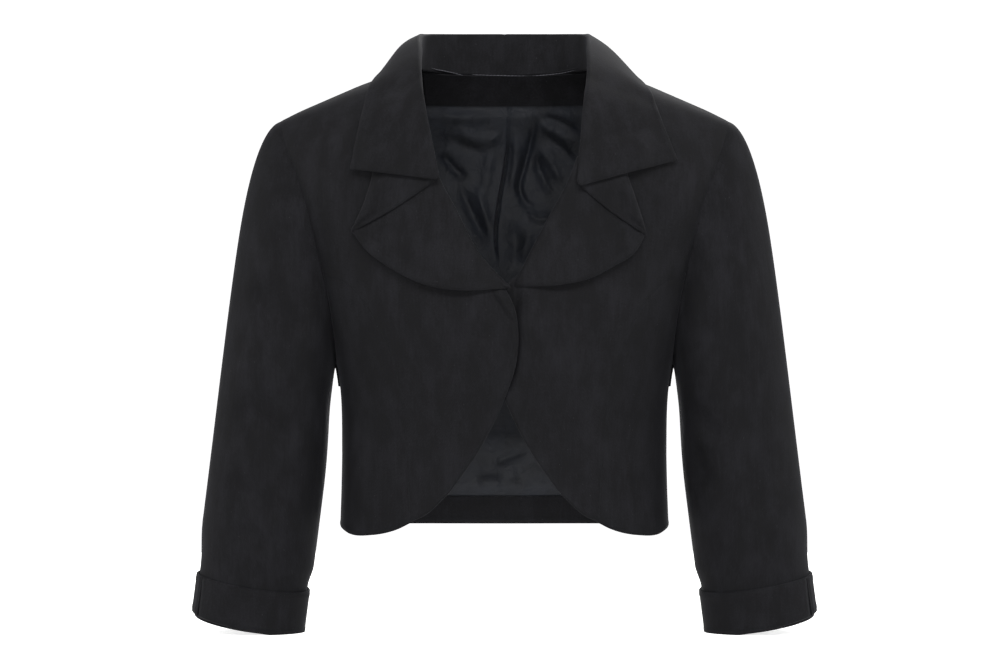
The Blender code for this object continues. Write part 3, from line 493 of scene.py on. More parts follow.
def form_levels(z):
    """Half width, front depth and back depth of the torso form at a height."""
    table = np.array(FORM_LEVELS)
    columns = hermite(table[:, 0], table[:, 1:], np.asarray(z, float))
    return columns[..., 0], columns[..., 1], columns[..., 2]


def form_depth(x, z, face):
    """y of the torso form: a rounded oval in plan, rounded over at the shoulder line."""
    half, front, back = form_levels(z)
    across = np.clip(np.abs(x) / half, 0.0, 1.0)
    plan = (1.0 - across**ROUND_PLAN) ** (1.0 / ROUND_PLAN)
    drop = np.clip((ridge(x) - z) / CROWN_DROP, 0.0, 1.0)
    crown = (1.0 - (1.0 - drop) ** ROUND_CROWN) ** (1.0 / ROUND_CROWN)
    return face * np.where(face < 0, front, back) * plan * crown


def form_point(x, z, face):
    """Point of the form at front-view x and z."""
    return np.stack([x, form_depth(x, z, face), np.broadcast_to(z, np.shape(x))], axis=-1)


def form_normal(x, z, face, step=1e-5, edge_on=0.05):
    """Outward normal of the form, from short steps inwards along and down the form."""
    here = form_point(x, z, face)
    side = np.where(x < 0, 1.0, -1.0)
    beside = x + side * step
    along = form_point(beside, z + ridge(beside) - ridge(x), face) - here
    down = form_point(x, z - step, face) - here
    normal = unit(np.cross(along, down))
    facing = np.sign(normal[..., 1] * face + TINY)
    sideways = np.abs(normal[..., 1]) < edge_on
    outward = np.where(sideways, np.sign(normal[..., 0] * x + normal[..., 2]), facing)
    return normal * outward[..., None]


def to_angle(line):
    """Front-view x changed to the angle round the form, so that the sides stay smooth."""
    half = form_levels(line[:, 1])[0]
    across = np.clip(np.abs(line[:, 0]) / half, 0.0, 1.0)
    angle = np.sign(line[:, 0]) * np.arcsin(across ** (ROUND_PLAN / 2))
    return np.stack([angle, line[:, 1]], axis=1)


def from_angle(angle, z):
    """Front-view x of an angle round the form."""
    half = form_levels(z)[0]
    return half * np.sign(angle) * np.abs(np.sin(angle)) ** (2 / ROUND_PLAN)


def patch(low, high, inner, outer, up, across, face):
    """Grid of angle and z between four lines, at shares up from low to high and across to outer."""
    sides = []
    for line, share in ((low, across), (high, across), (inner, up), (outer, up)):
        guide = form_point(line[:, 0], line[:, 1], face)
        sides.append(to_angle(spaced(line, guide, share)))
    low, high, inner, outer = sides
    u = across[None, :, None]
    v = up[:, None, None]
    grid = (1 - v) * low[None] + v * high[None] + (1 - u) * inner[:, None] + u * outer[:, None]
    corners = (1 - u) * ((1 - v) * low[0] + v * high[0]) + u * ((1 - v) * low[-1] + v * high[-1])
    return grid - corners


def quilt(rows_of_patches):
    """Front-view x and z of patches joined edge to edge, rows of patches from the bottom up."""
    bands = []
    for number, row in enumerate(rows_of_patches):
        band = np.concatenate([row[0]] + [piece[:, 1:] for piece in row[1:]], axis=1)
        bands.append(band if number == 0 else band[1:])
    grid = np.concatenate(bands)
    return from_angle(grid[..., 0], grid[..., 1]), grid[..., 1]


def lap_shift(x, side):
    """How far the right front is lifted off the left one, fading out from the centre."""
    if side == "left":
        return np.zeros_like(x)
    return LAP_LIFT * ease((LAP_FADE - x) / LAP_FADE)


def moved(x, z, face, offset, side="left"):
    """Points of the form moved along its normal; the seam gap and the lap move along y."""
    points = form_point(x, z, face) + form_normal(x, z, face) * np.asarray(offset)[..., None]
    points[..., 1] += face * HALF_SEAM
    if face < 0:
        points[..., 1] -= lap_shift(x, side)
    return points


def aside(line, distance):
    """A front-view line moved square to itself, to its left as it runs."""
    run = unit(np.gradient(line, axis=0))
    return line + distance * np.stack([-run[:, 1], run[:, 0]], axis=1)


def straight(start, end):
    """Dense straight line in front view."""
    return np.linspace(start, end, LINE_SAMPLES)


def world_x(x, side):
    """Signed x of a piece that is drawn towards its own side."""
    return x if side == "left" else -x


def crease_depth(x, z, creases):
    """Sum of soft troughs and ridges: depth times a bell of the distance to each line, faded at its ends."""
    total = np.zeros_like(x)
    spots = np.stack([x, z], axis=-1)[..., None, :]
    for points, left, right, depth in creases:
        line = smooth_line(points, LINE_SAMPLES)
        keys = chord_keys(line)
        run = unit(np.gradient(line, axis=0))
        gap = spots - line
        nearest = np.argmin(np.sum(gap**2, axis=-1), axis=-1)
        gap = np.take_along_axis(gap, nearest[..., None, None], axis=-2)[..., 0, :]
        run = run[nearest]
        along = (keys[nearest] + np.sum(gap * run, axis=-1)) / keys[-1]
        beside = run[..., 0] * gap[..., 1] - run[..., 1] * gap[..., 0]
        width = np.where(beside > 0, left, right)
        fade = ease(along / CREASE_FADE) * ease((1.0 - along) / CREASE_FADE)
        total = total + depth * fade * np.exp(-((beside / width) ** 2))
    return total


def side_distances(points):
    """Distance of each grid point from the low, high, inner and outer side, along rows and columns."""
    up = np.linalg.norm(np.diff(points, axis=0), axis=-1)
    up = np.concatenate([np.zeros_like(up[:1]), np.cumsum(up, axis=0)])
    across = np.linalg.norm(np.diff(points, axis=1), axis=-1)
    across = np.concatenate([np.zeros_like(across[:, :1]), np.cumsum(across, axis=1)], axis=1)
    return up, up[-1:] - up, across, across[:, -1:] - across


def edge_shape(points, kinds):
    """Height that edges add: turned ones swell and round off, sewn ones sink, pressed ones less."""
    shape = np.zeros(points.shape[:2])
    for distance, kind in zip(side_distances(points), kinds):
        if kind == "free":
            shape += EDGE_SWELL * np.exp(-(((distance - EDGE_SWELL_AT) / EDGE_SWELL_WIDTH) ** 2))
            shape -= EDGE_ROUND * np.exp(-((distance / EDGE_ROUND_WIDTH) ** 2))
        elif kind != "joined":
            sink = SEAM_SINK if kind == "seam" else PRESSED_SINK
            shape -= sink * np.exp(-((distance / SEAM_SINK_WIDTH) ** 2))
    return shape


def wall_mesh(name, outer, inner, kinds):
    """Closed wall between two grids; free edges get a rounded rim. Its UV map is in metres of cloth."""
    rows, columns = outer.shape[:2]
    count = rows * columns
    index = np.arange(count).reshape(rows, columns)
    quads = np.stack([index[:-1, :-1], index[:-1, 1:], index[1:, 1:], index[1:, :-1]], axis=-1)
    quads = quads.reshape(-1, 4)
    rim = np.concatenate([index[0, :], index[1:, -1], index[-1, -2::-1], index[-2:0:-1, 0]])
    row, column = rim // columns, rim % columns
    flat_outer, flat_inner = outer.reshape(-1, 3), inner.reshape(-1, 3)
    within = np.clip(row, 1, rows - 2) * columns + np.clip(column, 1, columns - 2)
    outward = unit(flat_outer[rim] - flat_outer[within])
    amount = [FREE_BULGE if kind == "free" else SEAM_BULGE for kind in kinds]
    reach = np.full(len(rim), max(amount))
    for here, bulge in zip((row == 0, row == rows - 1, column == 0, column == columns - 1), amount):
        reach = np.where(here, np.minimum(reach, bulge), reach)
    thickness = np.linalg.norm(flat_outer[rim] - flat_inner[rim], axis=1)
    middle = 0.5 * (flat_outer[rim] + flat_inner[rim]) + outward * (reach * thickness)[:, None]
    middle_index = 2 * count + np.arange(len(rim))
    after, middle_after = np.roll(rim, -1), np.roll(middle_index, -1)
    faces = np.concatenate([
        quads,
        quads[:, ::-1] + count,
        np.stack([after, rim, middle_index, middle_after], axis=-1),
        np.stack([middle_after, middle_index, rim + count, after + count], axis=-1),
    ])
    across, along = np.gradient(outer, axis=1), np.gradient(outer, axis=0)
    if np.sum(np.cross(across, along) * (outer - inner)) < 0:
        faces = faces[:, ::-1]
    up, _, over, _ = side_distances(outer)
    place = outer.mean(axis=(0, 1))
    uv = np.stack([over - over[:, columns // 2][:, None] + place[0], up + place[2]], axis=-1).reshape(-1, 2)
    uv = np.concatenate([uv, uv, uv[rim]])
    return grid_mesh(name, np.concatenate([flat_outer, flat_inner, middle]), faces, uv)


def grid_mesh(name, vertices, faces, uv):
    """Smooth mesh from arrays of points, four-sided faces and one UV point for each vertex."""
    mesh = bpy.data.meshes.new(name)
    mesh.vertices.add(len(vertices))
    mesh.vertices.foreach_set("co", vertices.astype(np.float32).ravel())
    mesh.loops.add(faces.size)
    mesh.loops.foreach_set("vertex_index", faces.astype(np.int32).ravel())
    mesh.polygons.add(len(faces))
    mesh.polygons.foreach_set("loop_start", np.arange(0, faces.size, 4, dtype=np.int32))
    mesh.update(calc_edges=True)
    layer = mesh.uv_layers.new(name="cloth")
    layer.data.foreach_set("uv", uv[faces.ravel()].astype(np.float32).ravel())
    mesh.shade_smooth()
    mesh.validate()
    return mesh


def ring_faces(index):
    """Four-sided faces between neighbouring closed rings, from the numbers of their points."""
    wrap = np.roll(index, -1, axis=1)
    return np.stack([index[:-1], wrap[:-1], wrap[1:], index[1:]], axis=-1).reshape(-1, 4)


def add_object(name, mesh, material):
    """An object at the origin that shows a mesh in one material."""
    piece = bpy.data.objects.new(name, mesh)
    bpy.context.scene.collection.objects.link(piece)
    piece.data.materials.append(material)
    return piece


def add_cloth(name, side, outer, inner, kinds, material):
    """One sewn piece: its mesh and material, attached to the root; the CAD node it stands for is hidden."""
    node = f"{name}_{side}" if side else name
    if side == "right":
        outer = outer * np.array([-1.0, 1.0, 1.0])
        inner = inner * np.array([-1.0, 1.0, 1.0])
    piece = add_object(f"{node}_cloth", wall_mesh(f"{node}_cloth", outer, inner, kinds), material)
    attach(piece, "root")
    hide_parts(node)


def armhole_line():
    """Armhole in front view, from the shoulder point to the underarm."""
    top = (SHOULDER_POINT, float(ridge(SHOULDER_POINT)))
    underarm = (float(form_levels(UNDERARM)[0]), UNDERARM)
    return smooth_line((top,) + ARMHOLE + (underarm,))


def part_of(line, low, high):
    """The stretch of a falling line between two heights, with its cut ends."""
    ends = [(np.interp(-level, -line[:, 1], line[:, 0]), level) for level in (high, low)]
    between = line[(line[:, 1] < high) & (line[:, 1] > low)]
    return np.concatenate([ends[:1], between, ends[1:]])


def side_seam():
    """Side seam from the underarm to the hem."""
    z = np.linspace(UNDERARM, HEM_SIDE, LINE_SAMPLES)
    return np.stack([form_levels(z)[0], z], axis=1)


def shoulder_line():
    """Shoulder seam from the neck point to the shoulder point."""
    x = np.linspace(NECK_POINT, SHOULDER_POINT, LINE_SAMPLES)
    return np.stack([x, ridge(x)], axis=1)


def princess_line():
    """Seam from the armhole down the front to the hem."""
    start = part_of(armhole_line(), UNDERARM, PRINCESS_LEVEL)[0]
    return smooth_line(np.concatenate([[start], PRINCESS]))


def front_inner_line():
    """Neckline, roll line and front edge down to the cutaway; behind the lapel it is tucked back."""
    neck = (NECK_POINT, float(ridge(NECK_POINT)))
    line = smooth_line((neck,) + NECKLINE_FRONT + FRONT_EDGE, EDGE_SAMPLES)
    above = ease((line[:, 1] - FRONT_TUCK_LOW) / FRONT_TUCK_FADE)
    below = ease((FRONT_TUCK_HIGH - line[:, 1]) / FRONT_TUCK_FADE)
    line[:, 0] += FRONT_TUCK * above * below
    return line


def front_grid():
    """Front panel: its upper part reaches the armhole, its lower part the princess seam."""
    princess = aside(princess_line(), -HALF_SEAM)
    armhole = part_of(armhole_line(), princess[0, 1], float(ridge(SHOULDER_POINT)))
    princess[0] = armhole[-1]
    inner = front_inner_line()
    split = int(np.argmin(np.abs(inner[:, 1] - FRONT_SPLIT)))
    across = straight(inner[split], armhole[-1])
    foot = smooth_line((inner[-1],) + CUTAWAY_FOOT + (tuple(princess[-1]),))
    columns = shares(FRONT_COLUMNS, CROWD, CROWD)
    lower = patch(foot, across, inner[split:][::-1], princess[::-1],
                  shares(FRONT_LOW_ROWS, low=CROWD), columns, -1)
    upper = patch(across, shoulder_line(), inner[:split + 1][::-1], armhole[::-1],
                  shares(FRONT_TOP_ROWS, high=CROWD), columns, -1)
    return quilt([[lower], [upper]])


def side_front_grid():
    """Side front between the princess seam and the side seam, under the armhole."""
    princess = aside(princess_line(), HALF_SEAM)
    armhole = part_of(armhole_line(), UNDERARM, princess[0, 1])
    princess[0] = armhole[0]
    corner = (float(form_levels(HEM_SIDE)[0]), HEM_SIDE)
    hem = smooth_line((tuple(princess[-1]),) + SIDE_HEM + (corner,))
    grid = patch(hem, armhole, princess[::-1], side_seam()[::-1],
                 shares(FRONT_LOW_ROWS, low=CROWD), shares(SIDE_COLUMNS, CROWD, CROWD), -1)
    return quilt([[grid]])


def neckline_back():
    """Back neck seam from the centre back to the neck point."""
    x = np.linspace(HALF_SEAM, NECK_POINT, LINE_SAMPLES)
    rise = float(ridge(NECK_POINT)) - NECK_BACK
    return np.stack([x, NECK_BACK + rise * (x / NECK_POINT) ** 3], axis=1)


def hem_back_level(x):
    """Height of the back hem, rising a little to the side seam."""
    return HEM_BACK + (HEM_SIDE - HEM_BACK) * (x / float(form_levels(HEM_SIDE)[0])) ** 2


def back_levels():
    """Lines across the back half, each in two stretches that meet below the neck point."""
    outline = joined(armhole_line(), side_seam())

    def outer_at(level):
        """Point of the armhole or side seam at a height."""
        return (float(np.interp(-level, -outline[:, 1], outline[:, 0])), level)

    hem_x = np.linspace(HALF_SEAM, BACK_SPLIT_FOOT, HEM_SAMPLES)
    hem_out = np.linspace(BACK_SPLIT_FOOT, outer_at(HEM_SIDE)[0], HEM_SAMPLES)
    hem = [np.stack([x, hem_back_level(x)], axis=1) for x in (hem_x, hem_out)]
    facing_top = [line + np.array([0.0, HEM_FACING_DEPTH]) for line in hem]
    facing_top[1] = straight(facing_top[1][0], outer_at(HEM_SIDE + HEM_FACING_DEPTH))
    waist_mid = (BACK_SPLIT_WAIST, UNDERARM)
    waist = [straight((HALF_SEAM, UNDERARM), waist_mid), straight(waist_mid, outer_at(UNDERARM))]
    facing_level = NECK_BACK - FACING_DEPTH
    neck_mid = (BACK_SPLIT_NECK, facing_level)
    neck = [straight((HALF_SEAM, facing_level), neck_mid), straight(neck_mid, outer_at(BACK_YOKE_SIDE))]
    top = [neckline_back(), shoulder_line()]
    return [hem, facing_top, waist, neck, top], outline


def back_grid(rows=BACK_ROWS, inner_columns=BACK_INNER_COLUMNS, outer_columns=BACK_OUTER_COLUMNS):
    """Back half in bands: hem facing, waist, blades and neck, which the inner pieces follow."""
    levels, outline = back_levels()
    inner_shares = shares(inner_columns, low=CROWD)
    outer_shares = shares(outer_columns, high=CROWD)
    band_shares = [
        shares(rows[0], CROWD, CROWD),
        shares(rows[1], low=CROWD),
        shares(rows[2], high=CROWD),
        shares(rows[3], CROWD, CROWD),
    ]
    bands = []
    for low, high, share in zip(levels[:-1], levels[1:], band_shares):
        centre = straight(low[0][0], high[0][0])
        middle = straight(low[0][-1], high[0][-1])
        outer = part_of(outline, low[1][-1, 1], high[1][-1, 1])[::-1]
        bands.append([
            patch(low[0], high[0], centre, middle, share, inner_shares, 1),
            patch(low[1], high[1], middle, outer, share, outer_shares, 1),
        ])
    return quilt(bands)


PANELS = (
    # name, grid, face of the form, kinds of its low, high, inner and outer edge
    ("front", front_grid, -1, ("free", "pressed", "free", "pressed")),
    ("side_front", side_front_grid, -1, ("free", "seam", "pressed", "pressed")),
    ("back", back_grid, 1, ("free", "pressed", "seam", "pressed")),
)


def torso_creases(x, z, face, side):
    """Soft hollows and swells of the panels, alike on both sides of a seam."""
    creases = FRONT_CREASES + OVERLAP_CREASES[side] if face < 0 else BACK_CREASES
    return crease_depth(world_x(x, side), z, creases)


def panel_faces(x, z, face, side, kinds):
    """Outer and inner grid of a torso panel with its creases and edges."""
    base = moved(x, z, face, np.zeros_like(x), side)
    height = torso_creases(x, z, face, side) + edge_shape(base, kinds)
    return moved(x, z, face, height, side), moved(x, z, face, height - WALL, side)


def make_panels(suiting):
    """Fronts, side fronts and back halves; the outer grids are kept for the sleeves."""
    sewn = {side: {} for side in SIDES}
    for name, grid, face, kinds in PANELS:
        x, z = grid()
        for side in SIDES:
            outer, inner = panel_faces(x, z, face, side, kinds)
            add_cloth(name, side, outer, inner, kinds, suiting)
            sewn[side][name] = outer
    return sewn


def from_middle(middle, wall, kinds):
    """Outer and inner grid on the two sides of a middle surface, thicker behind its turned edges."""
    normal = unit(np.cross(np.gradient(middle, axis=1), np.gradient(middle, axis=0)))
    half = wall / 2 + np.maximum(edge_shape(middle, kinds), -THIN_EDGE * wall)
    return middle + normal * half[..., None], middle - normal * half[..., None]


def lapel_lift(z, roll_distance):
    """How far a lapel springs off the front: nothing at the roll and under the collar, most at its edge."""
    below = ease((LAPEL_LIFT_FROM - z) / LAPEL_LIFT_FADE)
    return LAPEL_LIFT * below * ease(roll_distance / LAPEL_ROLL_FADE)


def fold_radius(z, tip):
    """Radius of a lapel's outer fold: flat under the collar, puffed below it, pressed at the tip."""
    puffed = FOLD_RADIUS + FOLD_PUFF * ease((FOLD_PUFF_FROM - z) / FOLD_PUFF_FADE)
    return FOLD_RADIUS_AT_TIP + (puffed - FOLD_RADIUS_AT_TIP) * ease((z - tip) / FOLD_GROWTH)


def lapel_middle(side):
    """Middle surface of a lapel: out round the roll, its face, the fold, the turned-over corner."""
    shape = LAPEL[side]
    roll = smooth_line(((LAPEL_TOP_X, LAPEL_TOP),) + NECKLINE_FRONT[3:6] + (shape["break"],))
    fold = smooth_line(shape["fold"][::-1] + (shape["tip"],))
    fold[:, 0] -= fold_radius(fold[:, 1], shape["tip"][1])
    edge = smooth_line((shape["break"],) + shape["edge"][::-1] + (tuple(fold[-1]),))
    rows = shares(LAPEL_ROWS, low=CROWD)
    face = patch(edge, straight(roll[0], fold[0]), roll[::-1], fold[::-1],
                 rows, shares(LAPEL_COLUMNS, low=CROWD), -1)
    face_x, face_z = quilt([[face]])

    notch = np.array(shape["notch"])
    end = straight(notch, (notch[0] + FLAP_END, LAPEL_TOP))
    sag = 0.5 * (fold[-1] + notch) - np.array([0.0, FLAP_SAG])
    flap = patch(smooth_line((fold[-1], sag, notch)), straight(fold[0], end[-1]), fold[::-1], end,
                 rows, shares(FLAP_COLUMNS, high=CROWD), -1)
    flap_x, flap_z = quilt([[flap]])

    low = LAYER_GAP + LAPEL_WALL / 2
    radius = fold_radius(face_z[:, -1:], shape["tip"][1])
    turn = np.linspace(-np.pi / 2, np.pi / 2, FOLD_COLUMNS + 2)[1:-1]
    turn_x = face_x[:, -1:] + radius * np.cos(turn)
    turn_z = np.repeat(face_z[:, -1:], FOLD_COLUMNS, axis=1)
    _, _, from_fold, _ = side_distances(form_point(flap_x, flap_z, -1))
    settled = ease(from_fold / FLAP_REST_FADE)
    layers = np.concatenate([
        np.full_like(face_x, low),
        low + radius * (1 + np.sin(turn)),
        low + 2 * radius + (FLAP_REST - 2 * radius) * settled,
    ], axis=1)
    x = np.concatenate([face_x, turn_x, flap_x], axis=1)
    z = np.concatenate([face_z, turn_z, flap_z], axis=1)
    _, _, from_roll, _ = side_distances(moved(x, z, -1, layers, side))
    grown = ease((z - shape["break"][1]) / LAPEL_ROLL_GROWTH)
    bend = LAPEL_ROLL * (LAPEL_ROLL_AT_BREAK + (1 - LAPEL_ROLL_AT_BREAK) * grown)
    short = 1.0 - np.clip(from_roll / bend, 0.0, 1.0)
    roll_drop = bend * (1.0 - np.sqrt(1.0 - short**2))
    lift = lapel_lift(z, np.minimum(from_roll, from_roll[:, LAPEL_COLUMNS - 1][:, None]))
    own = crease_depth(world_x(x, side), z, LAPEL_CREASES)
    own[:, LAPEL_COLUMNS:] = np.maximum(own[:, LAPEL_COLUMNS:], 0.0)
    heights = layers - roll_drop + lift + own + torso_creases(x, z, -1, side)
    return moved(x, z, -1, heights, side)


def lifted(x, z, face, lift):
    """One point over the form, a distance off it."""
    return tuple(moved(np.array(x), np.array(z), face, np.array(lift)))


def neck_dip(x):
    """How far the seam below the collar stand drops towards the sides of the neck, inside the jacket."""
    return NECK_DIP * np.abs(x / NECK_POINT) ** 3


def collar_lift(x, z):
    """How far the fall lies off the front: over the turned-over lapel corner, closer beyond and above it."""
    beyond = ease((np.abs(x) - COLLAR_SETTLE_FROM) / COLLAR_SETTLE_FADE)
    above = ease((z - COLLAR_SETTLE_ABOVE) / COLLAR_SETTLE_FADE)
    return COLLAR_LIFT - COLLAR_SETTLE * np.maximum(beyond, above)


def collar_stations(side):
    """Neck seam, roll line and outer edge of the collar, from the centre back to the notch."""
    shoulder, upper, middle, point = COLLAR_WING[side]
    between = 0.5 * (np.array(upper) + np.array(middle))
    notch = LAPEL[side]["notch"]
    neck = neckline_back()
    seam = []
    for x, below in COLLAR_SEAM_BACK:
        level = float(np.interp(x, neck[:, 0], neck[:, 1]))
        seam.append((x, lifted(x, level, 1, 0.0)[1], level - below - float(neck_dip(x))))
    seam.extend(lifted(x, z, -1, lift) for x, z, lift in COLLAR_SEAM_FRONT)
    seam.append(lifted(notch[0], notch[1] + COLLAR_LAST_STAND, -1, COLLAR_LIFT))
    roll = ((HALF_SEAM,) + COLLAR_ROLL_LINE[0][1:],) + COLLAR_ROLL_LINE[1:]
    roll = roll + (lifted(notch[0], notch[1], -1, COLLAR_LIFT + COLLAR_ROLL),)
    edge = COLLAR_EDGE_BACK + (
        (shoulder[0], 0.0, shoulder[1]),
        *(lifted(*spot, -1, collar_lift(*spot)) for spot in (upper, between, middle, point)),
    )
    keys = np.linspace(0.0, 1.0, len(seam))
    at = shares(COLLAR_STATIONS, low=CROWD, high=CROWD)
    return [hermite(keys, np.array(line), at) for line in (seam, roll, edge)] + [at]


def collar_middle(side):
    """Middle surface of a collar half: stand up from the seam, round the roll, down the fall."""
    seam, roll, edge, at = collar_stations(side)
    outward = unit(edge - seam)
    upward = roll - 0.5 * (seam + edge)
    upward = unit(upward - np.sum(upward * outward, axis=1, keepdims=True) * outward)
    centre = roll - COLLAR_ROLL * upward
    first, last = [np.arctan2(np.sum(way * outward, axis=1), np.sum(way * upward, axis=1))
                   for way in (roll - seam, edge - roll)]
    turn = np.linspace(first, last, ROLL_POINTS, axis=1)[..., None]
    bend = np.sin(turn) * upward[:, None] - np.cos(turn) * outward[:, None]
    arc = centre[:, None] + COLLAR_ROLL * bend
    rise = np.linspace(0.0, 1.0, STAND_POINTS + 1)[None, :-1, None]
    stand = seam[:, None] + rise * (arc[:, :1] - seam[:, None])
    fall_part = shares(FALL_POINTS + 1, high=CROWD)[None, 1:, None]
    fall = arc[:, -1:] + fall_part * (edge[:, None] - arc[:, -1:])
    swell = COLLAR_BULGE[side] * np.exp(-(((at - COLLAR_BULGE_AT) / COLLAR_BULGE_WIDTH) ** 2))
    fall += (swell[:, None] * np.sin(np.pi * fall_part[..., 0]))[..., None] * upward[:, None]
    clear = form_depth(fall[..., 0], fall[..., 2], -1) - collar_lift(fall[..., 0], fall[..., 2])
    front = ease((at[:, None] - COLLAR_FRONT_FROM) / COLLAR_FRONT_FADE)
    fall[..., 1] += front * np.minimum(clear - fall[..., 1], 0.0)
    fall[..., 1] -= front * COLLAR_EDGE_LIFT * ease(fall_part[..., 0])
    return np.concatenate([stand, arc, fall], axis=1)


def make_lapels_and_collar(suiting):
    """The two lapels, each on its own front, and the two collar halves, joined at the centre back."""
    folded = (
        ("lapel", lapel_middle, LAPEL_WALL, ("free", "joined", "joined", "free")),
        ("collar", collar_middle, COLLAR_WALL, ("pressed", "free", "joined", "free")),
    )
    for name, middle, wall, kinds in folded:
        for side in SIDES:
            outer, inner = from_middle(middle(side), wall, kinds)
            add_cloth(name, side, outer, inner, kinds, suiting)


def armhole_loop(grids):
    """Points of the armhole on the panels, from the shoulder forward round to the shoulder."""
    upper = grids["front"][:FRONT_LOW_ROWS - 2:-1, -1]
    lower = grids["side_front"][-1, 1:]
    behind = grids["back"][BACK_ROWS[0] + BACK_ROWS[1] - 1:-1, -1]
    return np.concatenate([upper, lower, behind]), len(upper) + len(lower)


def plain_panels():
    """Panel grids on the bare form, without creases and edges."""
    grids = {}
    for name, grid, face, _ in PANELS:
        x, z = grid()
        grids[name] = moved(x, z, face, np.zeros_like(x))
    return grids


def loop_angles(loop, half):
    """Angle round the arm of each loop point: 0 at the shoulder, half a turn at the underarm."""
    keys = chord_keys(np.concatenate([loop, loop[:1]]))
    under = keys[half - 1]
    before = np.pi * keys[:half] / under
    after = np.pi + np.pi * (keys[half:-1] - under) / (keys[-1] - under)
    return np.concatenate([before, after])


def sleeve_tube():
    """Outer grid of a whole sleeve, its normals and angles: rows down the arm, columns round it.

    Each column is a Bezier curve from the armhole to the wrist, then straight on under the cuff.
    Angle 0 is the shoulder point and the outer arm, a quarter turn on is the front.
    """
    loop, half = armhole_loop(plain_panels())
    angle = loop_angles(loop, half)
    turn_cos, turn_sin = np.cos(angle)[:, None], np.sin(angle)[:, None]
    top, bottom = loop[0], loop[half - 1]
    along = unit(bottom - top)
    out = np.array([-along[2], 0.0, along[0]])
    radial = unit(loop - 0.5 * (top + bottom))
    outward = SLEEVE_OUTWARD + SLEEVE_OUTWARD_AT_SHOULDER * turn_cos
    spread = SLEEVE_SPREAD + SLEEVE_SPREAD_AT_SHOULDER * turn_cos
    leave = unit(out * outward + radial * spread)
    start = loop + SEAM * leave

    axis = unit(np.array(SLEEVE_AXIS))
    wide = unit(np.array([1.0, 0.0, SLEEVE_END_TILT]))
    deep = np.array([0.0, -1.0, -SLEEVE_FRONT_DROP])
    wrist = np.array(WRIST) + turn_cos * SLEEVE_HALF_WIDTH * wide + turn_sin * SLEEVE_HALF_DEPTH * deep
    length = np.linalg.norm(wrist - start, axis=1, keepdims=True)
    first = start + SLEEVE_HANDLE * leave
    second = wrist - SLEEVE_FOOT_HANDLE * length * axis
    t = shares(SLEEVE_ROWS, low=CROWD)[:, None, None]
    upper_arm = (1 - t) ** 3 * start + 3 * t * (1 - t) ** 2 * first
    lower_arm = 3 * t * t * (1 - t) * second + t**3 * wrist
    down = shares(CUFF_ROWS, high=CROWD)[1:, None, None] * CUFF_HEIGHT
    tube = np.concatenate([upper_arm + lower_arm, wrist + down * axis])
    closed = np.concatenate([tube[:, -1:], tube, tube[:, :1]], axis=1)
    around = np.gradient(closed, axis=1)[:, 1:-1]
    normal = unit(np.cross(around, np.gradient(tube, axis=0)))
    body = np.concatenate([
        form_normal(loop[:half, 0], loop[:half, 2], -1),
        form_normal(loop[half:, 0], loop[half:, 2], 1),
    ])
    agree = ease((np.sum(body * normal[0], axis=1) - SLEEVE_AGREE_FROM) / SLEEVE_AGREE_FADE)[:, None]
    normal[0] = unit(agree * body + (1 - agree) * normal[0])
    return tube, normal, angle


def sleeve_creases(tube, angle, side):
    """Soft folds of a sleeve, front and back; it is full above the cuff and tucked in below the underarm."""
    x, z = world_x(tube[..., 0], side), tube[..., 2]
    front = ease(np.sin(angle) / SLEEVE_TURN_FADE)
    behind = ease(-np.sin(angle) / SLEEVE_TURN_FADE)
    height = front * crease_depth(x, z, SLEEVE_FRONT_CREASES)
    height = height + behind * crease_depth(x, z, SLEEVE_BACK_CREASES)
    rows = np.arange(len(tube))[:, None]
    down = rows / SLEEVE_ROWS
    inner = (0.5 - 0.5 * np.cos(angle)) ** 2
    flat = inner * ease((SLEEVE_FLAT_TO - down) / SLEEVE_FLAT_FADE)
    full = ease(down / SLEEVE_FULL_BY) * (1.0 - flat)
    tucked = inner * ease((SLEEVE_TUCK_TO - down) / SLEEVE_TUCK_FADE)
    height = height + SLEEVE_FULLNESS * full - SLEEVE_TUCK * tucked
    held = ease((SLEEVE_ROWS - SLEEVE_LAST_ROWS - rows) / SLEEVE_CUFF_ROWS) * ease(rows / SLEEVE_HEAD_ROWS)
    return height * held


def seam_columns(grid):
    """The grid with one more column close to each side seam, so that the shading turns only at the seam."""
    first = grid[:, :1] + SEAM_COLUMN * (grid[:, 1:2] - grid[:, :1])
    last = grid[:, -1:] + SEAM_COLUMN * (grid[:, -2:-1] - grid[:, -1:])
    return np.concatenate([grid[:, :1], first, grid[:, 1:-1], last, grid[:, -1:]], axis=1)


def make_sleeves(suiting, sewn):
    """Top and under sleeves, cut from one tube along two of its columns and sewn to the panels."""
    tube, normal, angle = sleeve_tube()
    columns = len(angle)
    hind = int(np.argmin(np.abs(angle - HIND_SEAM)))
    fore = int(np.argmin(np.abs(angle - FORE_SEAM)))
    strips = {
        "top_sleeve": np.arange(hind - columns, fore + 1),
        "under_sleeve": np.arange(fore, hind + 1),
    }
    kinds = ("joined", "free", "joined", "joined")
    for name, strip in strips.items():
        base = tube[:, strip % columns]
        away = normal[:, strip % columns]
        near = np.exp(-((side_distances(base)[0] / SEAM_SINK_WIDTH) ** 2))[..., None]
        for side in SIDES:
            pulled = (armhole_loop(sewn[side])[0] - tube[0])[strip % columns]
            height = sleeve_creases(base, angle[strip % columns], side) + edge_shape(base, kinds)
            outer = base + height[..., None] * away + near * pulled
            inner = outer - WALL * away
            add_cloth(name, side, seam_columns(outer), seam_columns(inner), kinds, suiting)


def round_values(angle, rows, at):
    """Closed rings read at given angles, between their own columns."""
    keys = np.concatenate([angle - 2 * np.pi, angle, angle + 2 * np.pi])
    columns = [np.interp(at, keys, np.tile(column, 3)) for column in rows.T]
    return np.stack(columns, axis=1)


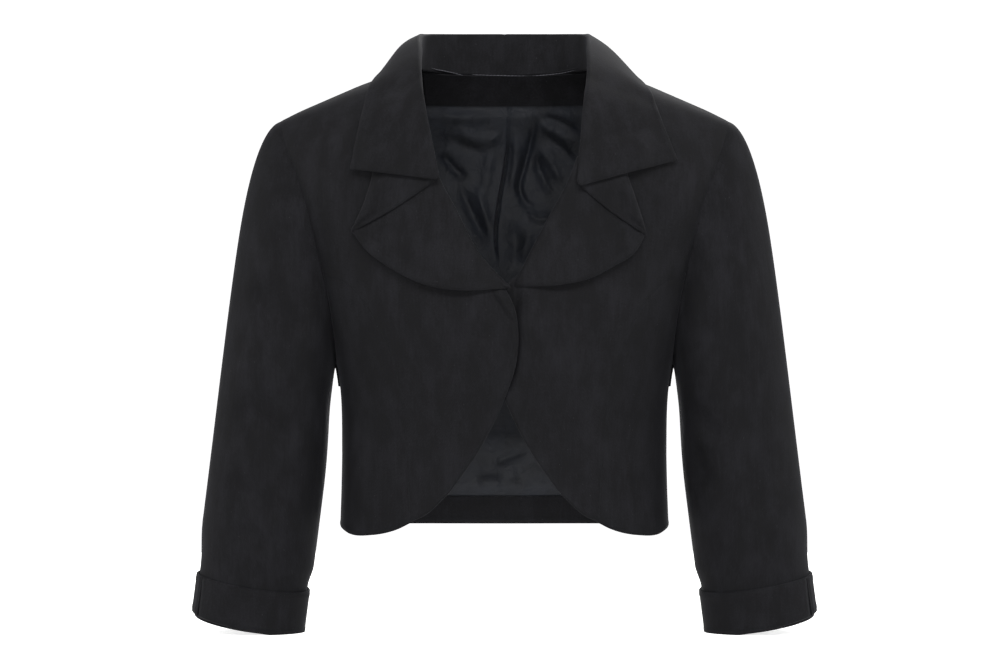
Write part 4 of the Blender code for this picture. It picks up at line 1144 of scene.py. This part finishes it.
def make_cuffs(suiting):
    """Turned-back cuffs round the sleeve ends, open along a slit on the outer side."""
    tube, normal, angle = sleeve_tube()
    axis = unit(np.array(SLEEVE_AXIS))
    around = shares(CUFF_COLUMNS, CROWD, CROWD)
    base, away = [], []
    for share in shares(CUFF_ROWS, CROWD, CROWD):
        opening = CUFF_SLIT_TOP + share * (CUFF_SLIT_FOOT - CUFF_SLIT_TOP)
        half = 0.5 * opening / SLEEVE_HALF_WIDTH
        at = CUFF_SLIT + half + around * (2 * np.pi - 2 * half)
        foot = -CUFF_LIP + CUFF_RISE * (0.5 + 0.5 * np.cos(at))
        height = (CUFF_HEIGHT + share * (foot - CUFF_HEIGHT))[:, None]
        normal_at = unit(round_values(angle, normal[-1], at))
        base.append(round_values(angle, tube[-1], at) - height * axis + CUFF_GAP * normal_at)
        away.append(normal_at)
    base, away = np.array(base), np.array(away)
    kinds = ("free", "free", "free", "free")
    height = np.maximum(edge_shape(base, kinds), 0.0)[..., None]
    for side in SIDES:
        add_cloth("cuff", side, base + (CUFF_WALL + height) * away, base + height * away, kinds,
                  suiting)


def both_halves(x, z):
    """A half grid carried over the centre to the other side."""
    x = x.copy()
    x[:, 0] = 0.0
    return np.concatenate([-x[:, :0:-1], x], axis=1), np.concatenate([z[:, :0:-1], z], axis=1)


def lining_height(x, z, side):
    """How far the loose lining stands into the jacket: a soft puff with its folds, held at its seams."""
    base = moved(x, z, 1, np.zeros_like(x), side)
    low, high, _, outer = side_distances(base)
    held = ease(low / LINING_PUFF_FADE) * ease(high / LINING_PUFF_FADE) * ease(outer / LINING_PUFF_FADE)
    return held * np.maximum(LINING_PUFF + crease_depth(world_x(x, side), z, LINING_CREASES), 0.0)


def make_inside(suiting, satin):
    """Hem facing, lining halves and neck facing, from the points of the back moved in."""
    inside = -(WALL + LAYER_GAP)
    x, z = back_grid()
    sewn = ("seam", "seam", "seam", "seam")
    bands = (
        # name, rows and columns of the back that it follows, kinds of its edges
        ("hem_facing", np.s_[:BACK_ROWS[0], :-1], ("free",) + sewn[1:]),
        ("neck_facing", np.s_[-BACK_ROWS[-1]:, :BACK_INNER_COLUMNS - 1], sewn),
    )
    for name, part, kinds in bands:
        band_x, band_z = both_halves(x[part], z[part])
        if name == "neck_facing":
            band_z -= neck_dip(band_x) * shares(len(band_z))[:, None]
        base = moved(band_x, band_z, 1, np.zeros_like(band_x))
        height = inside - np.maximum(edge_shape(base, kinds), 0.0)
        height += crease_depth(band_x, band_z, BACK_CREASES)
        outer, inner = moved(band_x, band_z, 1, height), moved(band_x, band_z, 1, height - WALL)
        add_cloth(name, "", outer, inner, kinds, suiting)

    x, z = back_grid(LINING_ROWS, LINING_INNER_COLUMNS, LINING_OUTER_COLUMNS)
    neck_row = len(x) - LINING_ROWS[-1]
    x = x[LINING_ROWS[0] - 1:neck_row + 1, :-LINING_SIDE_COLUMNS]
    z = z[LINING_ROWS[0] - 1:neck_row + 1, :-LINING_SIDE_COLUMNS].copy()
    z[0] += SEAM
    z[-1] -= SEAM
    shift = np.array(LINING_SHIFT)[::-1]
    move = np.interp(z, shift[:, 0], shift[:, 1]) * ease(1.0 - np.abs(x) / LINING_SHIFT_FADE)
    for side in SIDES:
        shifted = x + world_x(move, side)
        height = inside - lining_height(shifted, z, side) + torso_creases(shifted, z, 1, side)
        outer, inner = moved(shifted, z, 1, height), moved(shifted, z, 1, height - LINING_WALL)
        add_cloth("lining", side, outer, inner, sewn, satin)


def make_neck_stitches(thread):
    """Two lines of light stitching where the collar meets the neck facing, as thin round tubes."""
    turn = np.arange(STITCH_SIDES) * 2 * np.pi / STITCH_SIDES
    steps = np.arange(STITCH_SAMPLES)
    grown = STITCH_END + np.minimum(steps, steps[::-1]) / STITCH_END_STEPS
    radius = STITCH_RADIUS * np.minimum(1.0, grown)
    vertices, faces, uv = [], [], []
    start = 0
    inside = 2 * WALL + 2 * LAYER_GAP + EDGE_SWELL + STITCH_RADIUS
    for points in NECK_STITCHES:
        x, z = smooth_line(points, STITCH_SAMPLES).T
        centre = moved(x, z, 1, np.full_like(x, -inside))
        centre[:, 2] = z
        run = unit(np.gradient(centre, axis=0))
        side = unit(np.cross(run, np.array([0.0, 0.0, 1.0])))
        over = np.cross(side, run)
        ring = np.cos(turn)[None, :, None] * side[:, None] + np.sin(turn)[None, :, None] * over[:, None]
        tube = centre[:, None] + radius[:, None, None] * ring
        index = start + np.arange(tube[..., 0].size).reshape(tube.shape[:2])
        caps = [end[np.array(STITCH_CAP)] for end in (index[0], index[-1][::-1])]
        faces.extend([ring_faces(index)] + caps)
        vertices.append(tube.reshape(-1, 3))
        keys = np.repeat(chord_keys(centre)[:, None], len(turn), axis=1)
        around = np.broadcast_to(turn * STITCH_RADIUS, keys.shape)
        uv.append(np.stack([keys, around], axis=-1).reshape(-1, 2))
        start += tube[..., 0].size
    mesh = grid_mesh("neck_stitching", np.concatenate(vertices), np.concatenate(faces), np.concatenate(uv))
    piece = add_object("neck_stitching", mesh, thread)
    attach(piece, "root")


def linear(hex_colour):
    """Linear colour of an sRGB hex value."""
    parts = np.array([int(hex_colour[i:i + 2], 16) for i in (1, 3, 5)]) / 255
    value = np.where(parts <= 0.04045, parts / 12.92, ((parts + 0.055) / 1.055) ** 2.4)
    return (*value.tolist(), 1.0)


def set_inputs(tree, node, inputs):
    """Fills inputs of a node; an input is a value, or a socket to link from."""
    for name, value in inputs.items():
        if isinstance(value, bpy.types.NodeSocket):
            tree.links.new(value, node.inputs[name])
        else:
            node.inputs[name].default_value = value


def add_node(tree, kind, inputs=None, **settings):
    """One shader node with its settings and inputs."""
    node = tree.nodes.new(kind)
    for name, value in settings.items():
        setattr(node, name, value)
    set_inputs(tree, node, inputs or {})
    return node


def new_material(name):
    """An empty node material, its tree and its shader."""
    material = bpy.data.materials.new(name)
    material.use_nodes = True
    tree = material.node_tree
    return material, tree, tree.nodes["Principled BSDF"]


def wave_scale(pitch):
    """Scale of a wave texture whose bands repeat at a pitch in metres."""
    return np.pi / (10.0 * pitch)


def noise_scale(size):
    """Scale of a noise texture whose spots are a size in metres."""
    return 1.0 / size


def black_suiting():
    """Fine worsted suiting: matt blue-black, with twill lines, warp streaks, a soft nap and a little lint.

    Nap, warp threads and lint are finer than the render shows, so they are drawn 1.6 to 2 mm wide.
    """
    material, tree, shader = new_material("black_suiting")
    cloth = add_node(tree, "ShaderNodeUVMap", uv_map="cloth").outputs["UV"]
    twill_run = add_node(tree, "ShaderNodeMapping", {
        "Vector": cloth, "Rotation": (0.0, 0.0, np.radians(28))})
    # Real twill lines are 0.4 mm apart; they are drawn at 1.3 mm so that they show at all
    twill = add_node(tree, "ShaderNodeTexWave", {
        "Vector": twill_run.outputs["Vector"], "Scale": wave_scale(0.0013), "Distortion": 3.5,
        "Detail": 2.0, "Detail Scale": 0.6})
    nap = add_node(tree, "ShaderNodeTexNoise", {
        "Vector": cloth, "Scale": noise_scale(0.001786), "Detail": 3.0, "Roughness": 0.65})
    hung = add_node(tree, "ShaderNodeTexCoord").outputs["Object"]
    warp_run = add_node(tree, "ShaderNodeMapping", {"Vector": hung, "Scale": (1.0, 1.0, 0.06)})
    warp = add_node(tree, "ShaderNodeTexNoise", {
        "Vector": warp_run.outputs["Vector"], "Scale": noise_scale(0.001923), "Detail": 2.0,
        "Roughness": 0.6})
    mottle_run = add_node(tree, "ShaderNodeMapping", {"Vector": hung, "Scale": (1.0, 1.0, 0.5)})
    mottle = add_node(tree, "ShaderNodeTexNoise", {
        "Vector": mottle_run.outputs["Vector"], "Scale": noise_scale(0.01667), "Detail": 5.0,
        "Roughness": 0.62})
    grain = add_node(tree, "ShaderNodeMath", {
        0: twill.outputs["Fac"], 1: 0.18, 2: nap.outputs["Fac"]}, operation="MULTIPLY_ADD")
    streaks = add_node(tree, "ShaderNodeMath", {
        0: warp.outputs["Fac"], 1: 0.55, 2: grain.outputs[0]}, operation="MULTIPLY_ADD")
    shade = add_node(tree, "ShaderNodeMath", {
        0: mottle.outputs["Fac"], 1: 1.9, 2: streaks.outputs[0]}, operation="MULTIPLY_ADD")
    level = add_node(tree, "ShaderNodeMapRange", {
        "Value": shade.outputs[0], "From Min": 1.09, "From Max": 2.54})
    ramp = add_node(tree, "ShaderNodeValToRGB", {"Fac": level.outputs["Result"]})
    ramp.color_ramp.elements[0].position, ramp.color_ramp.elements[1].position = 0.35, 0.80
    ramp.color_ramp.elements[0].color = linear("#0b0b0d")
    ramp.color_ramp.elements[1].color = linear("#18181b")
    lint_spots = add_node(tree, "ShaderNodeTexNoise", {
        "Vector": cloth, "Scale": noise_scale(0.001613), "Detail": 0.0})
    lint = add_node(tree, "ShaderNodeMapRange", {
        "Value": lint_spots.outputs["Fac"], "From Min": 0.84, "From Max": 0.90, "To Max": 0.16})
    colour = add_node(tree, "ShaderNodeMix", {
        "Factor": lint.outputs["Result"], "A": ramp.outputs["Color"], "B": linear("#6a6a6c")},
        data_type="RGBA")
    rough = add_node(tree, "ShaderNodeMapRange", {
        "Value": mottle.outputs["Fac"], "To Min": 0.74, "To Max": 0.92})
    bump = add_node(tree, "ShaderNodeBump", {
        "Height": streaks.outputs[0], "Strength": 0.30, "Distance": 0.0003})
    set_inputs(tree, shader, {
        "Base Color": colour.outputs[2], "Roughness": rough.outputs["Result"],
        "Normal": bump.outputs["Normal"], "Specular IOR Level": 0.12, "Sheen Weight": 0.03,
        "Sheen Roughness": 0.40, "Sheen Tint": linear("#d8d8e4")})
    return material


def satin_lining():
    """Acetate satin: smooth blue-black threads that give long soft highlights along the folds."""
    material, tree, shader = new_material("acetate_satin")
    cloth = add_node(tree, "ShaderNodeUVMap", uv_map="cloth").outputs["UV"]
    tone = add_node(tree, "ShaderNodeTexNoise", {
        "Vector": cloth, "Scale": noise_scale(0.02222), "Detail": 3.0, "Roughness": 0.5})
    ramp = add_node(tree, "ShaderNodeValToRGB", {"Fac": tone.outputs["Fac"]})
    ramp.color_ramp.elements[0].position, ramp.color_ramp.elements[1].position = 0.25, 0.75
    ramp.color_ramp.elements[0].color = linear("#0c0e13")
    ramp.color_ramp.elements[1].color = linear("#15181f")
    # Real satin floats are 0.15 mm apart; they are drawn at 0.8 mm so that they show at all
    floats = add_node(tree, "ShaderNodeTexWave", {
        "Vector": cloth, "Scale": wave_scale(0.0008), "Distortion": 0.8, "Detail": 1.0},
        bands_direction="Y")
    crumple = add_node(tree, "ShaderNodeTexNoise", {
        "Vector": cloth, "Scale": noise_scale(0.01176), "Detail": 3.0, "Roughness": 0.55,
        "Distortion": 0.8})
    height = add_node(tree, "ShaderNodeMath", {
        0: floats.outputs["Fac"], 1: 0.12, 2: crumple.outputs["Fac"]}, operation="MULTIPLY_ADD")
    bump = add_node(tree, "ShaderNodeBump", {
        "Height": height.outputs[0], "Strength": 0.55, "Distance": 0.0026})
    set_inputs(tree, shader, {
        "Base Color": ramp.outputs["Color"], "Normal": bump.outputs["Normal"], "Roughness": 0.46,
        "Specular IOR Level": 0.15, "Anisotropic": 0.3, "Sheen Weight": 0.05})
    return material


def light_thread():
    """Grey cotton thread, matt, with a fine twist that shows as light and dark steps."""
    material, tree, shader = new_material("cotton_thread")
    cloth = add_node(tree, "ShaderNodeUVMap", uv_map="cloth").outputs["UV"]
    # Real thread turns every 0.5 mm; it is drawn at 1.6 mm so that it shows at all
    twist = add_node(tree, "ShaderNodeTexWave", {
        "Vector": cloth, "Scale": wave_scale(0.0016), "Distortion": 0.5}, bands_direction="DIAGONAL")
    ramp = add_node(tree, "ShaderNodeValToRGB", {"Fac": twist.outputs["Fac"]})
    ramp.color_ramp.elements[0].color = linear("#38383c")
    ramp.color_ramp.elements[1].color = linear("#64646a")
    set_inputs(tree, shader, {
        "Base Color": ramp.outputs["Color"], "Roughness": 0.85, "Specular IOR Level": 0.1})
    return material


def studio_white():
    """Matt white studio floor with a hardly visible unevenness."""
    material, tree, shader = new_material("matt_white_floor")
    place = add_node(tree, "ShaderNodeTexCoord").outputs["Object"]
    noise = add_node(tree, "ShaderNodeTexNoise", {
        "Vector": place, "Scale": noise_scale(0.5), "Detail": 3.0})
    ramp = add_node(tree, "ShaderNodeValToRGB", {"Fac": noise.outputs["Fac"]})
    ramp.color_ramp.elements[0].color = linear("#f2f2f2")
    ramp.color_ramp.elements[1].color = linear("#f6f6f6")
    set_inputs(tree, shader, {
        "Base Color": ramp.outputs["Color"], "Roughness": 0.9, "Specular IOR Level": 0.1,
        "Emission Color": linear("#ffffff"), "Emission Strength": 0.72})
    return material


def white_surround():
    """Evenly lit white paper round the whole studio."""
    material, tree, shader = new_material("white_paper_surround")
    set_inputs(tree, shader, {
        "Base Color": linear("#f6f6f6"), "Emission Color": linear("#ffffff"), "Emission Strength": 1.0})
    return material


def make_floor():
    """Round pale floor below the jacket, as rings of a disc."""
    radius = FLOOR_RADIUS * np.linspace(0.0, 1.0, FLOOR_RINGS) ** 2 + FLOOR_HOLE
    turn = np.linspace(0.0, 2 * np.pi, FLOOR_SIDES + 1)[:-1]
    x, y = radius[:, None] * np.cos(turn), radius[:, None] * np.sin(turn)
    points = np.stack([x, y, np.full_like(x, FLOOR_LEVEL)], axis=-1)
    faces = ring_faces(np.arange(x.size).reshape(x.shape))[:, ::-1]
    mesh = grid_mesh("studio_floor", points.reshape(-1, 3), faces, points[..., :2].reshape(-1, 2))
    floor = add_object("studio_floor", mesh, studio_white())
    floor.visible_diffuse = False


def make_surround():
    """White shell round the studio, which only the camera sees: the soft boxes light the cloth."""
    tilt = np.linspace(0.0, np.pi, SURROUND_RINGS + 2)[1:-1]
    turn = np.linspace(0.0, 2 * np.pi, SURROUND_SIDES + 1)[:-1]
    x, y = np.sin(tilt)[:, None] * np.cos(turn), np.sin(tilt)[:, None] * np.sin(turn)
    z = np.repeat(np.cos(tilt)[:, None], len(turn), axis=1)
    points = SURROUND_RADIUS * np.stack([x, y, z], axis=-1).reshape(-1, 3)
    faces = ring_faces(np.arange(x.size).reshape(x.shape))
    mesh = grid_mesh("white_surround", points, faces, points[:, :2])
    surround = add_object("white_surround", mesh, white_surround())
    for ray in ("diffuse", "glossy", "transmission", "volume_scatter", "shadow"):
        setattr(surround, f"visible_{ray}", False)


def add_light(name, place, target, size, power):
    """A soft box that looks at a point."""
    light = bpy.data.lights.new(name, "AREA")
    light.shape = "RECTANGLE"
    light.size, light.size_y = size
    light.energy = power
    lamp = bpy.data.objects.new(name, light)
    bpy.context.scene.collection.objects.link(lamp)
    lamp.location = place
    look = np.array(target, float) - np.array(place, float)
    tilt = np.arccos(-look[2] / np.linalg.norm(look))
    lamp.rotation_euler = (tilt, 0.0, np.arctan2(look[1], look[0]) - np.pi / 2)
    lamp.visible_camera = False


def make_studio():
    """Dim white room light and soft boxes: in front, above, beside, behind and low inside the hem."""
    world = bpy.data.worlds.new("white_surround")
    bpy.context.scene.world = world
    world.use_nodes = True
    background = world.node_tree.nodes["Background"]
    background.inputs["Color"].default_value = linear("#ffffff")
    background.inputs["Strength"].default_value = ROOM_LIGHT
    for box in LIGHTS:
        add_light(*box)
    bpy.context.scene.view_settings.view_transform = "Standard"


def make_camera():
    """Camera straight in front, at the photograph's distance and frame."""
    camera = bpy.data.cameras.new("photo_camera")
    camera.sensor_width = SENSOR
    camera.lens = SENSOR * CAMERA_DISTANCE / (IMAGE_WIDTH * PIXEL)
    camera.clip_start, camera.clip_end = 0.05, 60.0
    holder = bpy.data.objects.new("photo_camera", camera)
    holder.location = (CAMERA_SIDE, -CAMERA_DISTANCE, CAMERA_HEIGHT)
    holder.rotation_euler = (np.pi / 2, 0.0, 0.0)
    bpy.context.scene.collection.objects.link(holder)
    bpy.context.scene.camera = holder


def main():
    """Camera and studio, then every piece of the jacket."""
    make_camera()
    make_studio()
    make_floor()
    make_surround()
    suiting = black_suiting()
    sewn = make_panels(suiting)
    make_lapels_and_collar(suiting)
    make_sleeves(suiting, sewn)
    make_cuffs(suiting)
    make_inside(suiting, satin_lining())
    make_neck_stitches(light_thread())


main()
